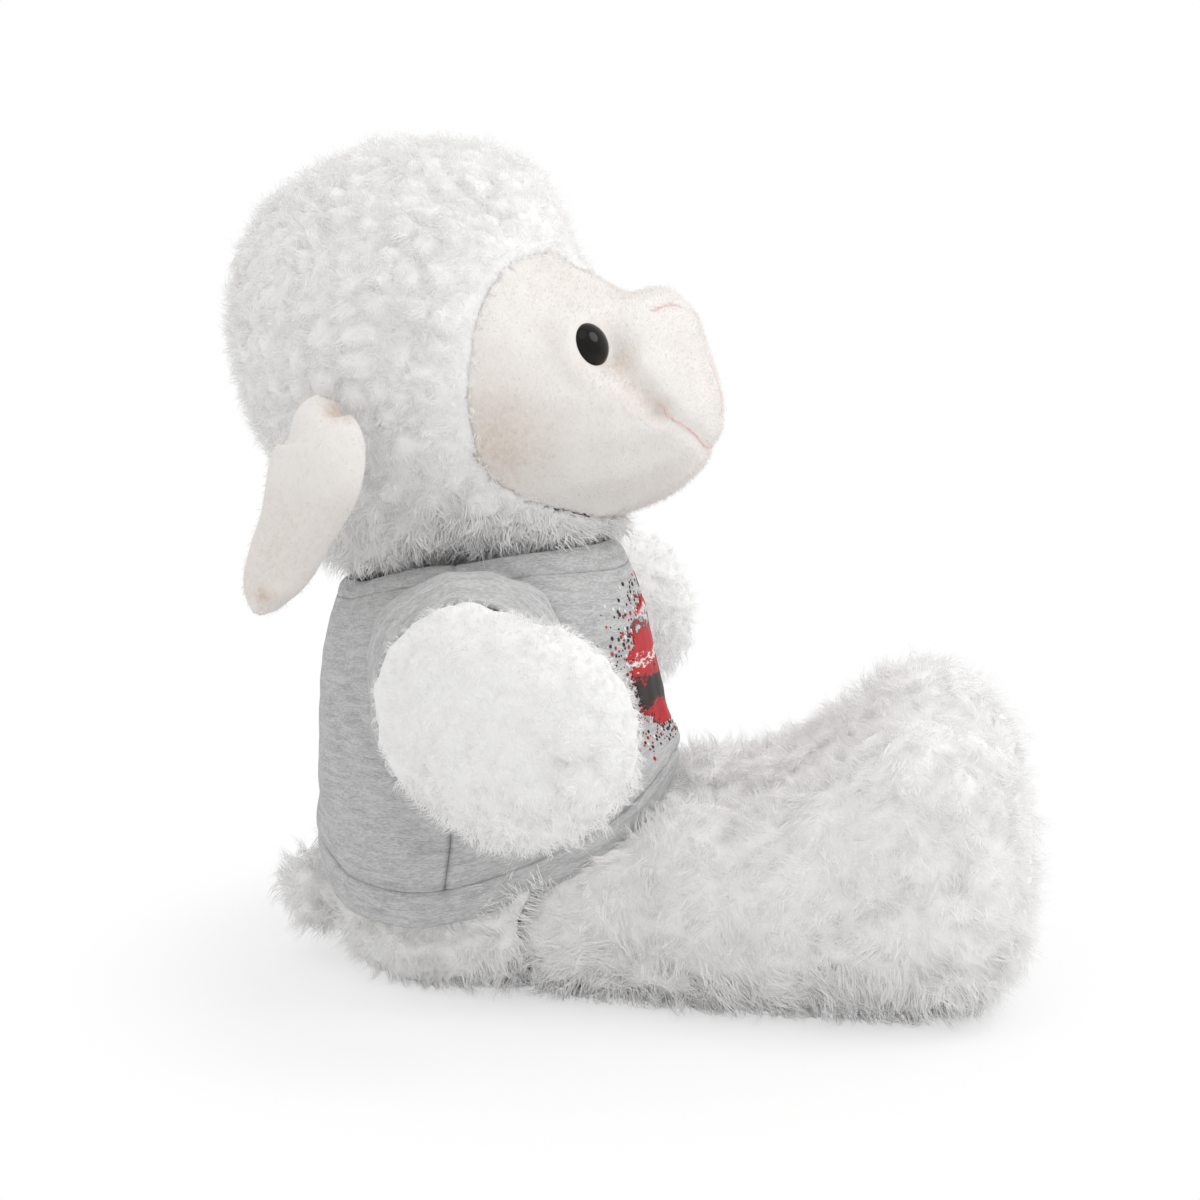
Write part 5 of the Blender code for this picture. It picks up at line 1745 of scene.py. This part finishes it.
def make_speck_tree():
    """Small flat dots scattered over a patch by its value near."""
    tree, given = tree_of(
        "ink_dots",
        (
            ("Spacing", "Float", 0.9 * MM),
            ("Dot", "Float", 0.42 * MM),
            ("Thickness", "Float", 0.12 * MM),
            ("Seed", "Int", 1),
            ("Finish", "Material", None),
        ),
    )
    scatter = scattered(tree, given, 1.0, "near")
    toned = name_value(tree, scatter.outputs["Points"], "tone", chance(tree, 0.0, 1.0, given["Seed"]))
    round_dot = {"Vertices": 7, "Radius": given["Dot"], "Depth": given["Thickness"]}
    dot = node(tree, "GeometryNodeMeshCylinder", round_dot)
    size = chance(tree, 0.35, 1.3, maths(tree, "ADD", given["Seed"], 3.0))
    stretch = node(tree, "ShaderNodeCombineXYZ", {"X": size, "Y": size, "Z": 1.0})
    placed = node(
        tree,
        "GeometryNodeInstanceOnPoints",
        {
            "Points": toned,
            "Instance": dot.outputs["Mesh"],
            "Rotation": scatter.outputs["Rotation"],
            "Scale": stretch,
        },
    )
    return end_tree(tree, given, placed)


SPECK_COUNT = 60


def speck_ground():
    """The front of the tee round the print, with how likely a speck is at each point."""
    points, faces, likely = [], [], []
    count = SPECK_COUNT
    for i in range(count + 1):
        for j in range(count + 1):
            a, b = 1.7 * (i / count * 2 - 1), 1.4 * (j / count * 2 - 1)
            turn = (PRINT_TURNS[0] + PRINT_TURNS[1]) / 2 + (PRINT_TURNS[1] - PRINT_TURNS[0]) / 2 * a
            v = (PRINT_ROWS[0] + PRINT_ROWS[1]) / 2 + (PRINT_ROWS[1] - PRINT_ROWS[0]) / 2 * b
            place = tee_point(turn, v)
            points.append(place + tee_normal(turn, v) * (tee_fold(turn, v, place) + 0.1 * MM))
            edge = (abs(a) ** PRINT_CORNERS + abs(b) ** PRINT_CORNERS) ** 0.6
            likely.append(smooth_step(1.75, 0.9, edge) * (edge > 0.78) * (v > NECK_ROW))
    for i in range(count):
        for j in range(count):
            k = i * (count + 1) + j
            faces.append((k, k + 1, k + count + 2, k + count + 1))
    mesh = bpy.data.meshes.new("speck_ground")
    mesh.from_pydata(points, [], faces)
    mesh.attributes.new("near", "FLOAT", "POINT").data.foreach_set("value", likely)
    return mesh


specks = run_tree("ink_specks", make_speck_tree(), {"Finish": spots, "Seed": 8}, speck_ground())
dress(specks, "torso")
print("specks of ink:", triangles(specks), "triangles")

# %% [markdown]
# ## Each sleeve and its arm
# The sleeve and the arm of each side are looked up here, and nothing more is done with them.

for side, _ in SIDES:
    sleeve, arm = bpy.data.objects[f"sleeve_knit_{side}"], limb_forms["arm", side]

# %% [markdown]
# ## Washers of the eyes
# A washer of milky plastic locks the stem of each eye inside the head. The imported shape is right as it
# is, so it only gets its material.

# %% Washers of the eyes
plastic, tree, shader = finish("milky_plastic", {"Roughness": 0.4})
cloudy = mottled(tree, (0.72, 0.72, 0.70), (0.82, 0.82, 0.80), 300.0, 1.0)
tree.links.new(cloudy.outputs[0], shader.inputs["Base Color"])
for side, _ in SIDES:
    for slot in frame["nodes"][f"eye_washer_{side}"].material_slots:
        slot.link = "OBJECT"
        slot.material = plastic

# %% [markdown]
# ## The end
# The skins are pressed flat where they touch the ground. The single locks were only patterns, so they go.

# %% Skins on the ground and the end
for skin in (torso_form, tail_form, neck_form, *limb_forms.values()):
    rest_on_floor(skin)
for shelf in (short_locks, long_locks, pile_locks):
    for lock in list(shelf.objects):
        bpy.data.objects.remove(lock)
